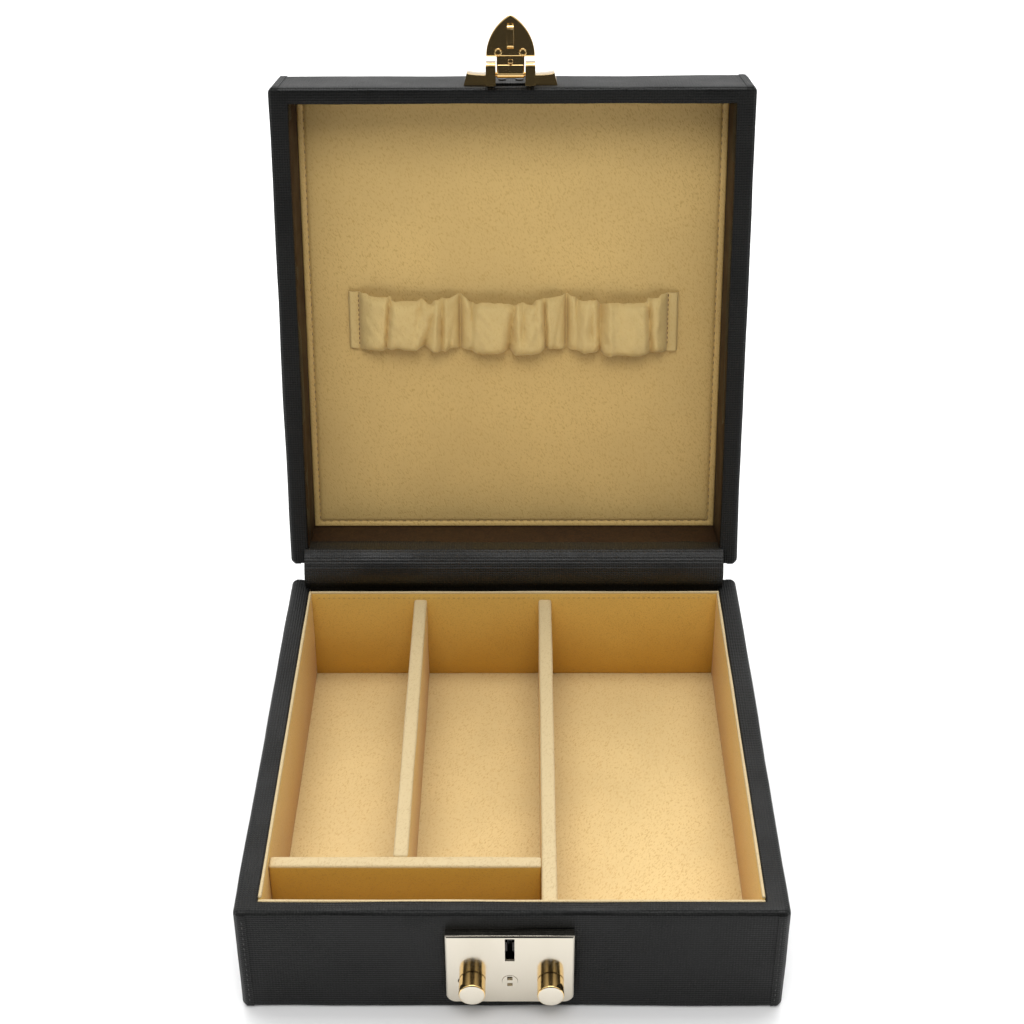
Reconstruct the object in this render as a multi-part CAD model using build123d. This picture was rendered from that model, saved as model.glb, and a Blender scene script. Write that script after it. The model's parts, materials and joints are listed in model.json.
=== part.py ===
"""A leather-covered jewelry box with a lined tray, a hinged lid and a small case lock.

Millimetres. The origin is the centre of the underside, +Z is up, and the lock is at -Y.
The lid is built closed and then turned back about the hinge to the open pose, in which it rests.
"""
from build123d import *
import math
import os

# ---- driving dimensions ---------------------------------------------------------------------
BOX_W = 180.0              # outside width, over the leather
BOX_D = 190.0              # outside depth, over the leather
BASE_H = 43.3              # height of the base
LID_H = 30.4               # height of the lid
LEATHER = 0.8              # cover thickness
CORNER_R = 2.2             # rounding of the upright edges
EDGE_R = 1.9               # rounding of the other edges
SIDE_WRAP = 4.0            # how far the side leathers reach onto front and back
RIM_GAP = 0.3              # air between the two rims when the lid is shut

BASE_WALL_SIDE = 7.74      # cover, board and gap at the base's sides
BASE_WALL_FRONT = 5.4
BASE_WALL_BACK = 6.5
HINGE_GROOVE = 4.05        # slot between back wall and back liner, for the hinge strip
FLOOR_Z = 3.35             # top of the floor card
FLOOR_CARD = 0.75
LINER = 1.1                # lining cards of the tray
LINER_RISE = 0.9           # side and back liners stand above the rim
DIVIDER = 5.1              # divider thickness
DIVIDER_TOP = 40.9
DIVIDER_LEFT_X = -37.4
DIVIDER_RIGHT_X = 12.5
DIVIDER_CROSS_Y = -68.4

LID_WALL_SIDE = 7.4
LID_WALL_FRONT = 6.1
LID_WALL_BACK = 6.5
LINING = 0.8               # brown lining of the lid's walls
LINING_SET = 0.8           # the lining starts this far inside the rim
PANEL_DEPTH = 25.6         # from the lid's rim to the padded panel
PANEL_PAD = 1.5

LID_OPEN = 101.19          # lid angle between shut and open
HINGE_Y = 97.08            # the axis that the leather hinge turns about
HINGE_Z = 48.07
HINGE_HALF_W = 84.0        # half the width of the hinge strip
STRIP = 0.8                # strip and spine thickness
STRIP_R = 10.25            # the strip's roll about the hinge axis, at the middle of its thickness
STRIP_END_Z = 32.0         # how far the strip reaches down into the groove
STRIP_LID_DEPTH = 7.0      # how far it reaches into the lid
STRIP_INNER_HALF_W = 82.1  # narrower part that goes down between the walls
SPINE_TAIL = 10.0          # how far the spine laps onto the back faces

BAND_H = 22.0              # jewellery band, measured along the lid
BAND_T = 0.9
BAND_RISE = 8.6            # clear height inside a loop
BAND_SEAMS = (-61.2, -21.0, 21.0, 61.2)
BAND_SEAM_HALF = 1.2       # half of the flat stretch at a seam
BAND_HEM = 4.1             # flap outside the end seams
LOOP_LEG = 3.6             # how far a loop's leg leans in
LOOP_R = 3.0

LOCK_X = -0.6              # the lock sits a little left of the middle
LOCK_W = 41.9
LOCK_BOTTOM = 6.3
LOCK_TOP = 36.2
LOCK_PROUD = 3.6           # how far the lock case stands out from the leather
LOCK_WALL = 1.0
LOCK_R = 3.2
SLOT_W = 3.1
SLOT_BOTTOM = 25.3
SLOT_TOP = 35.2
MECH_Z = 16.3              # height of knobs and key
KNOB_DX = 12.8
KNOB_R = 4.45
KNOB_OUT = 6.6             # how far a knob stands out from the case
KNOB_STEM_R = 1.4
KNOB_TRAVEL = 2.6
KEY_R = 2.53
KEY_CLEARANCE = 0.05
POCKET_W = 37.8            # pocket in the front board for the mechanism
POCKET_BOTTOM = 8.5
POCKET_TOP = 35.0
POCKET_DEPTH = 3.8         # below the leather's face
BACK_PLATE = 0.8
PRONG_W = 2.0
PRONG_T = 0.8
PRONG_IN = 4.0             # how deep the case's prongs go in behind the leather's face
PRONG_Z = (13.0, 31.0)
PRONG_GAP = 0.05
RIVET_R = 0.8              # rivets that hold the lock's back plate to the board
RIVET_HEAD_R = 1.5
RIVET_HEAD = 0.5
RIVET_IN = 1.2
RIVET_DX = 17.0
RIVET_Z = (10.8, 32.2)
CATCH_T = 1.2              # the catches are flat plates behind the case's face
CATCH_NOSE = 0.85          # half gap between the two noses: they hold the tooth's waist
CATCH_ARM = 4.2            # inner side of the upright arm, from the lock's middle
CATCH_ARM_W = 4.0
CATCH_FOOT = 15.4          # outer end of the foot, which the spring pushes on
CATCH_FOOT_HALF = 3.0
CATCH_NOSE_LOW = 28.6
CATCH_TOP = 32.5
SPRING_R = 0.9
SPRING_WIRE_R = 0.2
SPRING_TURNS = 5
KEY_FLANGE = 0.6           # the key plug's flange behind the face keeps it in
KEY_SLOT_HALF_W = 0.85
KEY_SLOTS = ((0.4, 2.1), (-2.2, -0.8))

PIN_OUT = 4.5              # hasp pin, out from the lid's front face
PIN_Z = 44.4               # and its height when the lid is shut
PIN_R = 0.8
PIN_BORE_CLEARANCE = 0.05
KNUCKLE_R = 1.8
HASP_T = 1.2
HASP_W = 17.9
HASP_NECK_W = 10.2
HASP_SHOULDER = 6.4        # from the pin to the arch's shoulder
HASP_TIP = 21.2            # from the pin to the tip
TOOTH_W = 2.4
TOOTH_FROM = 9.7           # the tooth's ends, measured from the pin
TOOTH_TO = 17.9
TOOTH_IN = 4.3             # how far the tooth stands behind the hasp
TOOTH_WAIST = 1.0          # its width between the notches that the catches hold
EAR_IN = 5.45              # inner and outer side of the bracket's ears
EAR_OUT = 9.1
EAR_LOW = 1.6
EAR_HIGH = 8.8
WING_HALF = 17.3
WING_RISE = 4.5
PIN_HALF = 8.7
HASP_RIVET_DX = 4.5
HASP_RIVET_FROM_PIN = 8.0
HASP_RIVET_HEAD = 0.2      # low heads, so that they clear the lock case
BRACKET_PLATE = 1.0
BRACKET_FROM = 46.6        # the bracket's plate begins this high, when shut
BRACKET_TO = 56.4
BRACKET_RIVET_X = 3.2
BRACKET_RIVET_Z = 54.2
BRACKET_RIVET_IN = 4.0

CLEAR = 0.3                # air between pieces that move past each other

os.makedirs("parts", exist_ok=True)
NODES = {}


# ---- small helpers --------------------------------------------------------------------------
def block(x0, x1, y0, y1, z0, z1):
    """A box from its low and high faces."""
    return Pos((x0 + x1) / 2, (y0 + y1) / 2, (z0 + z1) / 2) * Box(x1 - x0, y1 - y0, z1 - z0)


def rod(radius, y0, y1, x, z):
    """A cylinder along Y."""
    return Pos(x, (y0 + y1) / 2, z) * Rot(90, 0, 0) * Cylinder(radius, y1 - y0)


def rod_x(radius, x0, x1, y, z):
    """A cylinder along X."""
    return Pos((x0 + x1) / 2, y, z) * Rot(0, 90, 0) * Cylinder(radius, x1 - x0)


def shell_block(inset, z0, z1):
    """A block with all its edges rounded, set in from the outside of the box."""
    body = block(-BOX_W / 2 + inset, BOX_W / 2 - inset, -BOX_D / 2 + inset, BOX_D / 2 - inset, z0, z1)
    body = fillet(body.edges().filter_by(Axis.Z), CORNER_R - inset)
    for end in (-1, 0):
        body = fillet(body.faces().sort_by(Axis.Z)[end].edges(), EDGE_R - inset)
    return body


def keep(name, shape):
    """Remember a node as a plain compound of its solids."""
    NODES[name] = Compound(children=list(shape.solids()), label=name)


def turn_lid(shape):
    """From the shut pose to the open one."""
    return shape.rotate(Axis((0, HINGE_Y, HINGE_Z), (1, 0, 0)), -LID_OPEN)


def keep_lid(name, shape):
    keep(name, turn_lid(shape))


def turn_hasp(shape):
    """From hanging over the lock to standing out from the lid."""
    return shape.rotate(Axis((0, PIN_Y, PIN_Z), (1, 0, 0)), -90)


# ---- places worked out from the dimensions --------------------------------------------------
HALF_W = BOX_W / 2
HALF_D = BOX_D / 2
FRONT = -HALF_D
BACK = HALF_D
TRAY_X = HALF_W - BASE_WALL_SIDE
TRAY_FRONT = FRONT + BASE_WALL_FRONT
TRAY_BACK = BACK - BASE_WALL_BACK - HINGE_GROOVE
BOARD_TOP = BASE_H - LEATHER
BOTTOM_BOARD_TOP = FLOOR_Z - FLOOR_CARD
LID_RIM = BASE_H + RIM_GAP
LID_TOP = BASE_H + LID_H
PANEL_Z = BASE_H + PANEL_DEPTH
PIN_Y = FRONT - PIN_OUT
HASP_BACK = PIN_Y + HASP_T / 2
CASE_FACE = FRONT - LOCK_PROUD
CAVITY_FACE = CASE_FACE + LOCK_WALL
POCKET_BACK = FRONT + POCKET_DEPTH
CATCH_FRONT = CAVITY_FACE + CLEAR
CATCH_BACK = CATCH_FRONT + CATCH_T
BIG = 300.0                # reaches past the whole box


# ---- base -----------------------------------------------------------------------------------
def lock_cut():
    """The pocket and the prong slots, through the front leather and into the front board."""
    cut = block(LOCK_X - POCKET_W / 2, LOCK_X + POCKET_W / 2, FRONT - 1, POCKET_BACK,
                POCKET_BOTTOM, POCKET_TOP)
    for side in (-1, 1):
        for z in PRONG_Z:
            cut += prong(side, z, PRONG_GAP)
    for x, z in rivet_places():
        cut += rod(RIVET_R, POCKET_BACK - 1, POCKET_BACK + RIVET_IN, x, z)
    return cut


def prong(side, z, grow):
    """A prong of the lock case, or with grow above zero the slot that it goes into."""
    x = LOCK_X + side * (LOCK_W / 2 - PRONG_T / 2)
    return block(x - PRONG_T / 2 - grow, x + PRONG_T / 2 + grow, FRONT - grow,
                 FRONT + PRONG_IN + grow, z - PRONG_W / 2 - grow, z + PRONG_W / 2 + grow)


def rivet_places():
    """Centres of the back plate's four rivets."""
    return [(LOCK_X + dx, z) for dx in (-RIVET_DX, RIVET_DX) for z in RIVET_Z]


def cover_parts(prefix, skin, inner_x, inner_y, bottom_z, top_z):
    """Cuts a cover into its leathers: sides that wrap round the corners, front, back and flat."""
    side_from = HALF_W - SIDE_WRAP
    flat = block(-BIG, BIG, -BIG, BIG, -1 if bottom_z else top_z, bottom_z or BIG)
    walls = skin - flat
    parts = {}
    for side, name in ((-1, "left"), (1, "right")):
        outer = block(*sorted((side * side_from, side * BIG)), -BIG, BIG, -BIG, BIG)
        rim = block(*sorted((side * inner_x, side * BIG)), inner_y[0], inner_y[1], -BIG, BIG)
        parts[name] = walls & (outer + rim)
        walls = walls - (outer + rim)
    parts["front"] = walls & block(-BIG, BIG, -BIG, 0, -BIG, BIG)
    parts["back"] = walls & block(-BIG, BIG, 0, BIG, -BIG, BIG)
    parts["bottom" if bottom_z else "top"] = skin & flat
    return {prefix + "_" + name + "_leather": shape for name, shape in parts.items()}


def carcass(prefix, core, inner_x, inner_y, split_z, flat_name):
    """Cuts a hollowed core into its five boards."""
    flat = block(-BIG, BIG, -BIG, BIG, *((-1, split_z) if flat_name == "bottom" else (split_z, BIG)))
    parts = {flat_name: core & flat}
    walls = core - flat
    for side, name in ((-1, "left"), (1, "right")):
        region = block(*sorted((side * inner_x, side * BIG)), -BIG, BIG, -BIG, BIG)
        parts[name] = walls & region
        walls = walls - region
    parts["front"] = walls & block(-BIG, BIG, -BIG, inner_y[0] + 0.001, -BIG, BIG)
    parts["back"] = walls & block(-BIG, BIG, inner_y[1] - 0.001, BIG, -BIG, BIG)
    return {prefix + "_" + name + "_board": shape for name, shape in parts.items()}


def make_base():
    inner_y = (TRAY_FRONT, BACK - BASE_WALL_BACK)
    outer = shell_block(0, 0, BASE_H)
    core = shell_block(LEATHER, LEATHER, BOARD_TOP)
    cavity = block(-TRAY_X, TRAY_X, inner_y[0], inner_y[1], BOTTOM_BOARD_TOP, BASE_H + 1)
    skin = outer - core - cavity - lock_cut()
    for name, shape in cover_parts("base", skin, TRAY_X, inner_y, LEATHER, BASE_H).items():
        keep(name, shape)
    boards = core - cavity - lock_cut()
    for name, shape in carcass("base", boards, TRAY_X, inner_y, BOTTOM_BOARD_TOP, "bottom").items():
        keep(name, shape)


def make_tray():
    floor = block(-TRAY_X, TRAY_X, TRAY_FRONT, TRAY_BACK, BOTTOM_BOARD_TOP, FLOOR_Z)
    keep("floor_card", floor)
    rise = BASE_H + LINER_RISE
    inner_x = TRAY_X - LINER
    inner_front = TRAY_FRONT + LINER
    inner_back = TRAY_BACK - LINER
    keep("liner_front", block(-TRAY_X, TRAY_X, TRAY_FRONT, inner_front, FLOOR_Z, BASE_H - 0.2))
    keep("liner_back", block(-TRAY_X, TRAY_X, inner_back, TRAY_BACK, FLOOR_Z, rise))
    for side, name in ((-1, "left"), (1, "right")):
        x0, x1 = sorted((side * inner_x, side * TRAY_X))
        keep("liner_" + name, block(x0, x1, inner_front, inner_back, FLOOR_Z, rise))
    cross_front = DIVIDER_CROSS_Y - DIVIDER / 2
    cross_back = DIVIDER_CROSS_Y + DIVIDER / 2
    right_from = DIVIDER_RIGHT_X - DIVIDER / 2
    keep("divider_right", block(right_from, right_from + DIVIDER, inner_front, inner_back,
                                FLOOR_Z, DIVIDER_TOP))
    keep("divider_cross", block(-inner_x, right_from, cross_front, cross_back, FLOOR_Z, DIVIDER_TOP))
    keep("divider_left", block(DIVIDER_LEFT_X - DIVIDER / 2, DIVIDER_LEFT_X + DIVIDER / 2,
                               cross_back, inner_back, FLOOR_Z, DIVIDER_TOP))


# ---- lock -----------------------------------------------------------------------------------
def make_lock_case():
    left = LOCK_X - LOCK_W / 2
    right = LOCK_X + LOCK_W / 2
    case = block(left, right, CASE_FACE, FRONT, LOCK_BOTTOM, LOCK_TOP)
    case = fillet(case.edges().filter_by(Axis.Y).sort_by(Axis.Z)[:2], LOCK_R)
    case = chamfer(case.faces().sort_by(Axis.Y)[0].edges(), 0.5)
    inside = block(left + LOCK_WALL, right - LOCK_WALL, CAVITY_FACE, FRONT + 1,
                   LOCK_BOTTOM + LOCK_WALL, LOCK_TOP - LOCK_WALL)
    inside = fillet(inside.edges().filter_by(Axis.Y).sort_by(Axis.Z)[:2], LOCK_R - LOCK_WALL)
    case -= inside
    case -= block(LOCK_X - SLOT_W / 2, LOCK_X + SLOT_W / 2, CASE_FACE - 1, CAVITY_FACE + 0.5,
                  SLOT_BOTTOM, SLOT_TOP)
    case -= rod(KEY_R + KEY_CLEARANCE, CASE_FACE - 1, CAVITY_FACE + 1, LOCK_X, MECH_Z)
    for side in (-1, 1):
        near = LOCK_X + side * KNOB_DX
        far = near + side * (KNOB_TRAVEL + 0.1)
        gap = KNOB_STEM_R + 0.1
        case -= block(*sorted((near, far)), CASE_FACE - 1, CAVITY_FACE + 0.5, MECH_Z - gap, MECH_Z + gap)
        case -= rod(gap, CASE_FACE - 1, CAVITY_FACE + 0.5, near, MECH_Z)
        case -= rod(gap, CASE_FACE - 1, CAVITY_FACE + 0.5, far, MECH_Z)
        for z in PRONG_Z:
            case += prong(side, z, 0)
    keep("lock_case", case)


def make_lock_inside():
    plate = block(LOCK_X - POCKET_W / 2 + 0.2, LOCK_X + POCKET_W / 2 - 0.2, POCKET_BACK - BACK_PLATE,
                  POCKET_BACK, POCKET_BOTTOM + 0.2, POCKET_TOP - 0.2)
    parts = []
    for x, z in rivet_places():
        plate -= rod(RIVET_R, POCKET_BACK - 2, POCKET_BACK + 1, x, z)
        head_y = POCKET_BACK - BACK_PLATE - RIVET_HEAD
        parts.append(rod(RIVET_HEAD_R, head_y, POCKET_BACK - BACK_PLATE, x, z)
                     + rod(RIVET_R, head_y, POCKET_BACK + RIVET_IN, x, z))
    keep("lock_back_plate", plate)
    NODES["lock_rivets"] = Compound(children=parts, label="lock_rivets")


def make_knob(side, name):
    """A knob outside, its catch inside: a foot, an arm and a nose that points to the slot."""
    x = LOCK_X + side * KNOB_DX
    head_back = CASE_FACE - CLEAR
    head_front = CASE_FACE - KNOB_OUT
    knob = rod(KNOB_R, head_front, head_back, x, MECH_Z)
    knob = chamfer(knob.edges().filter_by(GeomType.CIRCLE).sort_by(Axis.Y)[0], 0.5)
    knob += rod(KNOB_STEM_R, head_back, CATCH_FRONT, x, MECH_Z)
    keep("knob_" + name, knob)

    def along(near, far):
        return sorted((LOCK_X + side * near, LOCK_X + side * far))

    catch = block(*along(CATCH_ARM, CATCH_FOOT), CATCH_FRONT, CATCH_BACK,
                  MECH_Z - CATCH_FOOT_HALF, MECH_Z + CATCH_FOOT_HALF)
    catch += block(*along(CATCH_ARM, CATCH_ARM + CATCH_ARM_W), CATCH_FRONT, CATCH_BACK,
                   MECH_Z, CATCH_TOP)
    catch += block(*along(CATCH_NOSE, CATCH_ARM), CATCH_FRONT, CATCH_BACK, CATCH_NOSE_LOW, CATCH_TOP)
    keep("catch_" + name, catch)


def make_spring(side, name):
    """A coil between the catch's outer end and the case's side wall."""
    far = LOCK_W / 2 - LOCK_WALL
    height = far - CATCH_FOOT - 2 * SPRING_WIRE_R
    path = Helix(height / SPRING_TURNS, height, SPRING_R)
    ring = Plane(origin=path @ 0, z_dir=path % 0) * Circle(SPRING_WIRE_R)
    coil = sweep(ring, path=path, is_frenet=True)
    start = LOCK_X + side * (CATCH_FOOT + SPRING_WIRE_R)
    turned = Rot(0, 90 * side, 0) * coil
    keep("lock_spring_" + name, Pos(start, CATCH_FRONT + SPRING_R + SPRING_WIRE_R, MECH_Z) * turned)


def make_key_plug():
    """The round plug that the key turns, with the two slots that the key's prongs go into."""
    plug = rod(KEY_R, CASE_FACE - 0.15, CATCH_FRONT, LOCK_X, MECH_Z)
    plug += rod(KEY_R + KEY_FLANGE, CAVITY_FACE + 0.1, CATCH_FRONT + KEY_FLANGE, LOCK_X, MECH_Z)
    for low, high in KEY_SLOTS:
        plug -= block(LOCK_X - KEY_SLOT_HALF_W, LOCK_X + KEY_SLOT_HALF_W, CASE_FACE - 1,
                      CASE_FACE + 1.2, MECH_Z + low, MECH_Z + high)
    keep("key_plug", plug)


# ---- lid ------------------------------------------------------------------------------------
def make_lid():
    inner_x = HALF_W - LID_WALL_SIDE
    inner_y = (FRONT + LID_WALL_FRONT, BACK - LID_WALL_BACK)
    board_x = inner_x + LINING
    board_y = (inner_y[0] - LINING, inner_y[1] + LINING)
    roof = PANEL_Z + PANEL_PAD
    outer = shell_block(0, LID_RIM, LID_TOP)
    core = shell_block(LEATHER, LID_RIM + LEATHER, LID_TOP - LEATHER)
    mouth = block(-inner_x, inner_x, inner_y[0], inner_y[1], LID_RIM - 1, LID_RIM + LINING_SET)
    bracket_holes = bracket_rivet_shanks()
    skin = outer - core - mouth - bracket_holes
    for name, shape in cover_parts("lid", skin, inner_x, inner_y, None, LID_TOP - LEATHER).items():
        keep_lid(name, shape)
    hollow = block(-board_x, board_x, board_y[0], board_y[1], LID_RIM, roof)
    boards = core - hollow - bracket_holes
    for name, shape in carcass("lid", boards, board_x, board_y, roof, "top").items():
        keep_lid(name, shape)
    low = LID_RIM + LINING_SET
    for side, name in ((-1, "left"), (1, "right")):
        x0, x1 = sorted((side * inner_x, side * board_x))
        keep_lid("lid_lining_" + name, block(x0, x1, board_y[0], board_y[1], low, roof))
    keep_lid("lid_lining_front", block(-inner_x, inner_x, board_y[0], inner_y[0], low, roof))
    keep_lid("lid_lining_back", block(-inner_x, inner_x, inner_y[1], board_y[1], low, roof))
    keep_lid("lid_panel", block(-inner_x, inner_x, inner_y[0], inner_y[1], PANEL_Z, roof))


def loop_outline(x0, x1):
    """A flat-topped arch of the band from one seam to the next, drawn with the panel at zero."""
    low = BAND_T / 2
    top = BAND_RISE + BAND_T / 2
    return FilletPolyline((x0, low), (x0 + LOOP_LEG, top), (x1 - LOOP_LEG, top), (x1, low),
                          radius=LOOP_R)


def make_band():
    """The band lies on the panel at its seams and hems, and stands off it in three loops."""
    profile = Sketch()
    for x0, x1 in zip(BAND_SEAMS, BAND_SEAMS[1:]):
        middle = loop_outline(x0 + BAND_T / 2, x1 - BAND_T / 2)
        profile += make_face(offset(middle, BAND_T / 2 - 0.001, side=Side.BOTH).edges())
    flats = [[seam - BAND_SEAM_HALF, seam + BAND_SEAM_HALF] for seam in BAND_SEAMS]
    flats[0][0] = BAND_SEAMS[0] - BAND_HEM
    flats[-1][1] = BAND_SEAMS[-1] + BAND_HEM
    for x0, x1 in flats:
        profile += Pos((x0 + x1) / 2, BAND_T / 2) * Rectangle(x1 - x0, BAND_T)
    profile -= Pos(0, -BIG / 2) * Rectangle(BIG, BIG)
    plane = Plane(origin=(0, -BAND_H / 2, PANEL_Z), x_dir=(1, 0, 0), z_dir=(0, 1, 0))
    keep_lid("jewel_band", extrude(plane * profile, BAND_H))


# ---- hasp -----------------------------------------------------------------------------------
def bracket_rivet(side, radius, y0, y1):
    """A stretch of one of the two rivets that hold the bracket to the lid."""
    return rod(radius, y0, y1, LOCK_X + side * BRACKET_RIVET_X, BRACKET_RIVET_Z)


def bracket_rivet_shanks():
    plate_face = FRONT - BRACKET_PLATE
    return (bracket_rivet(-1, PIN_R, plate_face, FRONT + BRACKET_RIVET_IN)
            + bracket_rivet(1, PIN_R, plate_face, FRONT + BRACKET_RIVET_IN))


def wing(side):
    """One scooped wing, drawn as width against height off the lid, then run up the lid."""
    def spot(across, out):
        return (LOCK_X + side * across, FRONT - out)

    low_out = spot(WING_HALF, 0)
    high_out = spot(WING_HALF - 1.1, WING_RISE)
    dip = spot(12.6, WING_RISE - 1.3)
    root = spot(EAR_OUT - 1.0, WING_RISE - 0.2)
    base = spot(EAR_OUT - 1.0, 0)
    outline = Wire([Line(low_out, high_out), ThreePointArc(high_out, dip, root), Line(root, base),
                    Line(base, low_out)])
    return extrude(Pos(0, 0, BRACKET_FROM + 1.0) * make_face(outline), BRACKET_TO - BRACKET_FROM - 1.0)


def make_bracket():
    bracket = block(LOCK_X - EAR_OUT, LOCK_X + EAR_OUT, FRONT - BRACKET_PLATE, FRONT,
                    BRACKET_FROM, BRACKET_TO)
    for side in (-1, 1):
        bracket += wing(side)
        x0, x1 = sorted((LOCK_X + side * EAR_IN, LOCK_X + side * EAR_OUT))
        ear = block(x0, x1, FRONT - EAR_HIGH, FRONT - EAR_LOW, PIN_Z - 2.0, BRACKET_FROM + 4.5)
        ear = fillet(ear.edges().filter_by(Axis.X).group_by(Axis.Y)[0], 1.9)
        foot = block(x0, x1, FRONT - EAR_LOW - 0.5, FRONT, BRACKET_FROM, BRACKET_FROM + 4.5)
        bracket += ear + foot
    bracket -= rod_x(PIN_R, LOCK_X - WING_HALF, LOCK_X + WING_HALF, PIN_Y, PIN_Z)
    keep_lid("hasp_bracket", bracket - bracket_rivet_shanks())
    plate_face = FRONT - BRACKET_PLATE
    rivets = [bracket_rivet(side, RIVET_HEAD_R, plate_face - RIVET_HEAD, plate_face)
              + bracket_rivet(side, PIN_R, plate_face - 0.1, FRONT + BRACKET_RIVET_IN)
              for side in (-1, 1)]
    NODES["bracket_rivets"] = turn_lid(Compound(children=rivets, label="bracket_rivets"))
    keep_lid("hasp_pin", rod_x(PIN_R, LOCK_X - PIN_HALF, LOCK_X + PIN_HALF, PIN_Y, PIN_Z))


def arch_outline():
    """The hasp's pointed arch, seen from the front, hanging from the pin."""
    shoulder = PIN_Z - HASP_SHOULDER
    tip = PIN_Z - HASP_TIP
    half = HASP_W / 2
    bulge_x = half * 0.80
    bulge_z = shoulder - (HASP_TIP - HASP_SHOULDER) * 0.5
    right = ThreePointArc((half, shoulder), (bulge_x, bulge_z), (0, tip))
    left = ThreePointArc((0, tip), (-bulge_x, bulge_z), (-half, shoulder))
    return make_face(Wire([right, left, Line((-half, shoulder), (half, shoulder))]))


def place_hasp(shape):
    """From the lock's middle, hanging, to where the open lid carries it."""
    return turn_lid(turn_hasp(Pos(LOCK_X, 0, 0) * shape))


def make_hasp():
    plate_plane = Plane(origin=(0, HASP_BACK, 0), x_dir=(1, 0, 0), z_dir=(0, -1, 0))
    plate = extrude(plate_plane * arch_outline(), HASP_T)
    half = HASP_NECK_W / 2
    neck_low = PIN_Z - HASP_SHOULDER - 0.5
    plate += block(-half, half, PIN_Y - HASP_T / 2, PIN_Y + HASP_T / 2, neck_low, PIN_Z)
    plate += rod_x(KNUCKLE_R, -half, half, PIN_Y, PIN_Z)
    plate -= rod_x(PIN_R + PIN_BORE_CLEARANCE, -half - 1, half + 1, PIN_Y, PIN_Z)
    rivet_z = PIN_Z - HASP_RIVET_FROM_PIN
    for x in (-HASP_RIVET_DX, HASP_RIVET_DX):
        plate -= rod(1.0, PIN_Y - 0.2, HASP_BACK + 1, x, rivet_z)
    keep("hasp_plate", place_hasp(plate))
    tooth = block(-TOOTH_W / 2, TOOTH_W / 2, HASP_BACK, HASP_BACK + TOOTH_IN,
                  PIN_Z - TOOTH_TO, PIN_Z - TOOTH_FROM)
    tooth = fillet(tooth.edges().filter_by(Axis.X).group_by(Axis.Y)[-1], 1.2)
    for side in (-1, 1):
        x0, x1 = sorted((side * TOOTH_WAIST / 2, side * TOOTH_W))
        tooth -= block(x0, x1, CATCH_FRONT - CLEAR, CATCH_BACK + CLEAR, PIN_Z - TOOTH_TO - 1, PIN_Z)
    keep("hasp_tooth", place_hasp(tooth))
    rings = []
    head = HASP_BACK + HASP_RIVET_HEAD
    for x in (-HASP_RIVET_DX, HASP_RIVET_DX):
        ring = rod(1.0, PIN_Y - 0.2, head, x, rivet_z) + rod(1.4, HASP_BACK, head, x, rivet_z)
        rings.append(ring - rod(0.6, PIN_Y + 0.1, head + 1, x, rivet_z))
    NODES["hasp_rivets"] = place_hasp(Compound(children=rings, label="hasp_rivets"))


# ---- hinge ----------------------------------------------------------------------------------
def to_open(y, z):
    """A point of the shut lid, turned to the open pose."""
    angle = math.radians(-LID_OPEN)
    dy = y - HINGE_Y
    dz = z - HINGE_Z
    return (HINGE_Y + dy * math.cos(angle) - dz * math.sin(angle),
            HINGE_Z + dy * math.sin(angle) + dz * math.cos(angle))


def across(outline, half_w):
    """A closed outline in the Y-Z plane, run across the box."""
    plane = Plane(origin=(-half_w, 0, 0), x_dir=(0, 1, 0), z_dir=(1, 0, 0))
    return extrude(plane * make_face(outline), 2 * half_w)


def strap(start, end, half_w):
    """A flat stretch of hinge leather between two points of the Y-Z plane."""
    return across(offset(Line(start, end), STRIP / 2, side=Side.BOTH), half_w)


def hinge_roll(radius, from_angle, half_w):
    """The bent stretch of hinge leather, turned about the hinge axis as far as the lid opens."""
    rings = []
    for r in (radius - STRIP / 2, radius + STRIP / 2):
        spots = []
        for share in (0, 0.5, 1):
            angle = math.radians(from_angle - share * LID_OPEN)
            spots.append((HINGE_Y + r * math.cos(angle), HINGE_Z + r * math.sin(angle)))
        rings.append(spots)
    inner, outer = rings
    outline = Wire([ThreePointArc(*inner), Line(inner[-1], outer[-1]), ThreePointArc(*outer[::-1]),
                    Line(outer[0], inner[0])])
    return across(outline, half_w)


def make_hinge():
    """Inner strip and outer spine: each is flat on base and lid, and rolls about the axis between."""
    wall = BACK - BASE_WALL_BACK - STRIP / 2
    leave_z = HINGE_Z - math.sqrt(STRIP_R ** 2 - (HINGE_Y - wall) ** 2)
    leave_angle = 180 + math.degrees(math.asin((HINGE_Z - leave_z) / STRIP_R))
    side_rims = block(-BIG, BIG, 0, BACK, 0, BASE_H + 0.05)
    lid_rims = turn_lid(block(-BIG, BIG, 0, BACK, LID_RIM - 0.05, LID_TOP))
    roll = hinge_roll(STRIP_R, leave_angle, HINGE_HALF_W) - side_rims - lid_rims
    inner_roll = hinge_roll(STRIP_R, leave_angle, STRIP_INNER_HALF_W)
    strip = strap((wall, STRIP_END_Z), (wall, leave_z), STRIP_INNER_HALF_W) + inner_roll + roll
    strip += strap(to_open(wall, leave_z), to_open(wall, LID_RIM + STRIP_LID_DEPTH), STRIP_INNER_HALF_W)
    walls = NODES["base_back_leather"] + NODES["lid_back_leather"]
    keep("hinge_strip", strip - walls - NODES["base_back_board"] - NODES["lid_lining_back"])
    out = BACK + STRIP / 2 + 0.02
    spine = strap((out, BASE_H - SPINE_TAIL), (out, HINGE_Z), HINGE_HALF_W)
    spine += hinge_roll(HINGE_Y - out, 180, HINGE_HALF_W)
    spine += strap(to_open(out, HINGE_Z), to_open(out, LID_RIM + SPINE_TAIL), HINGE_HALF_W)
    keep("hinge_spine", spine)


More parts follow.
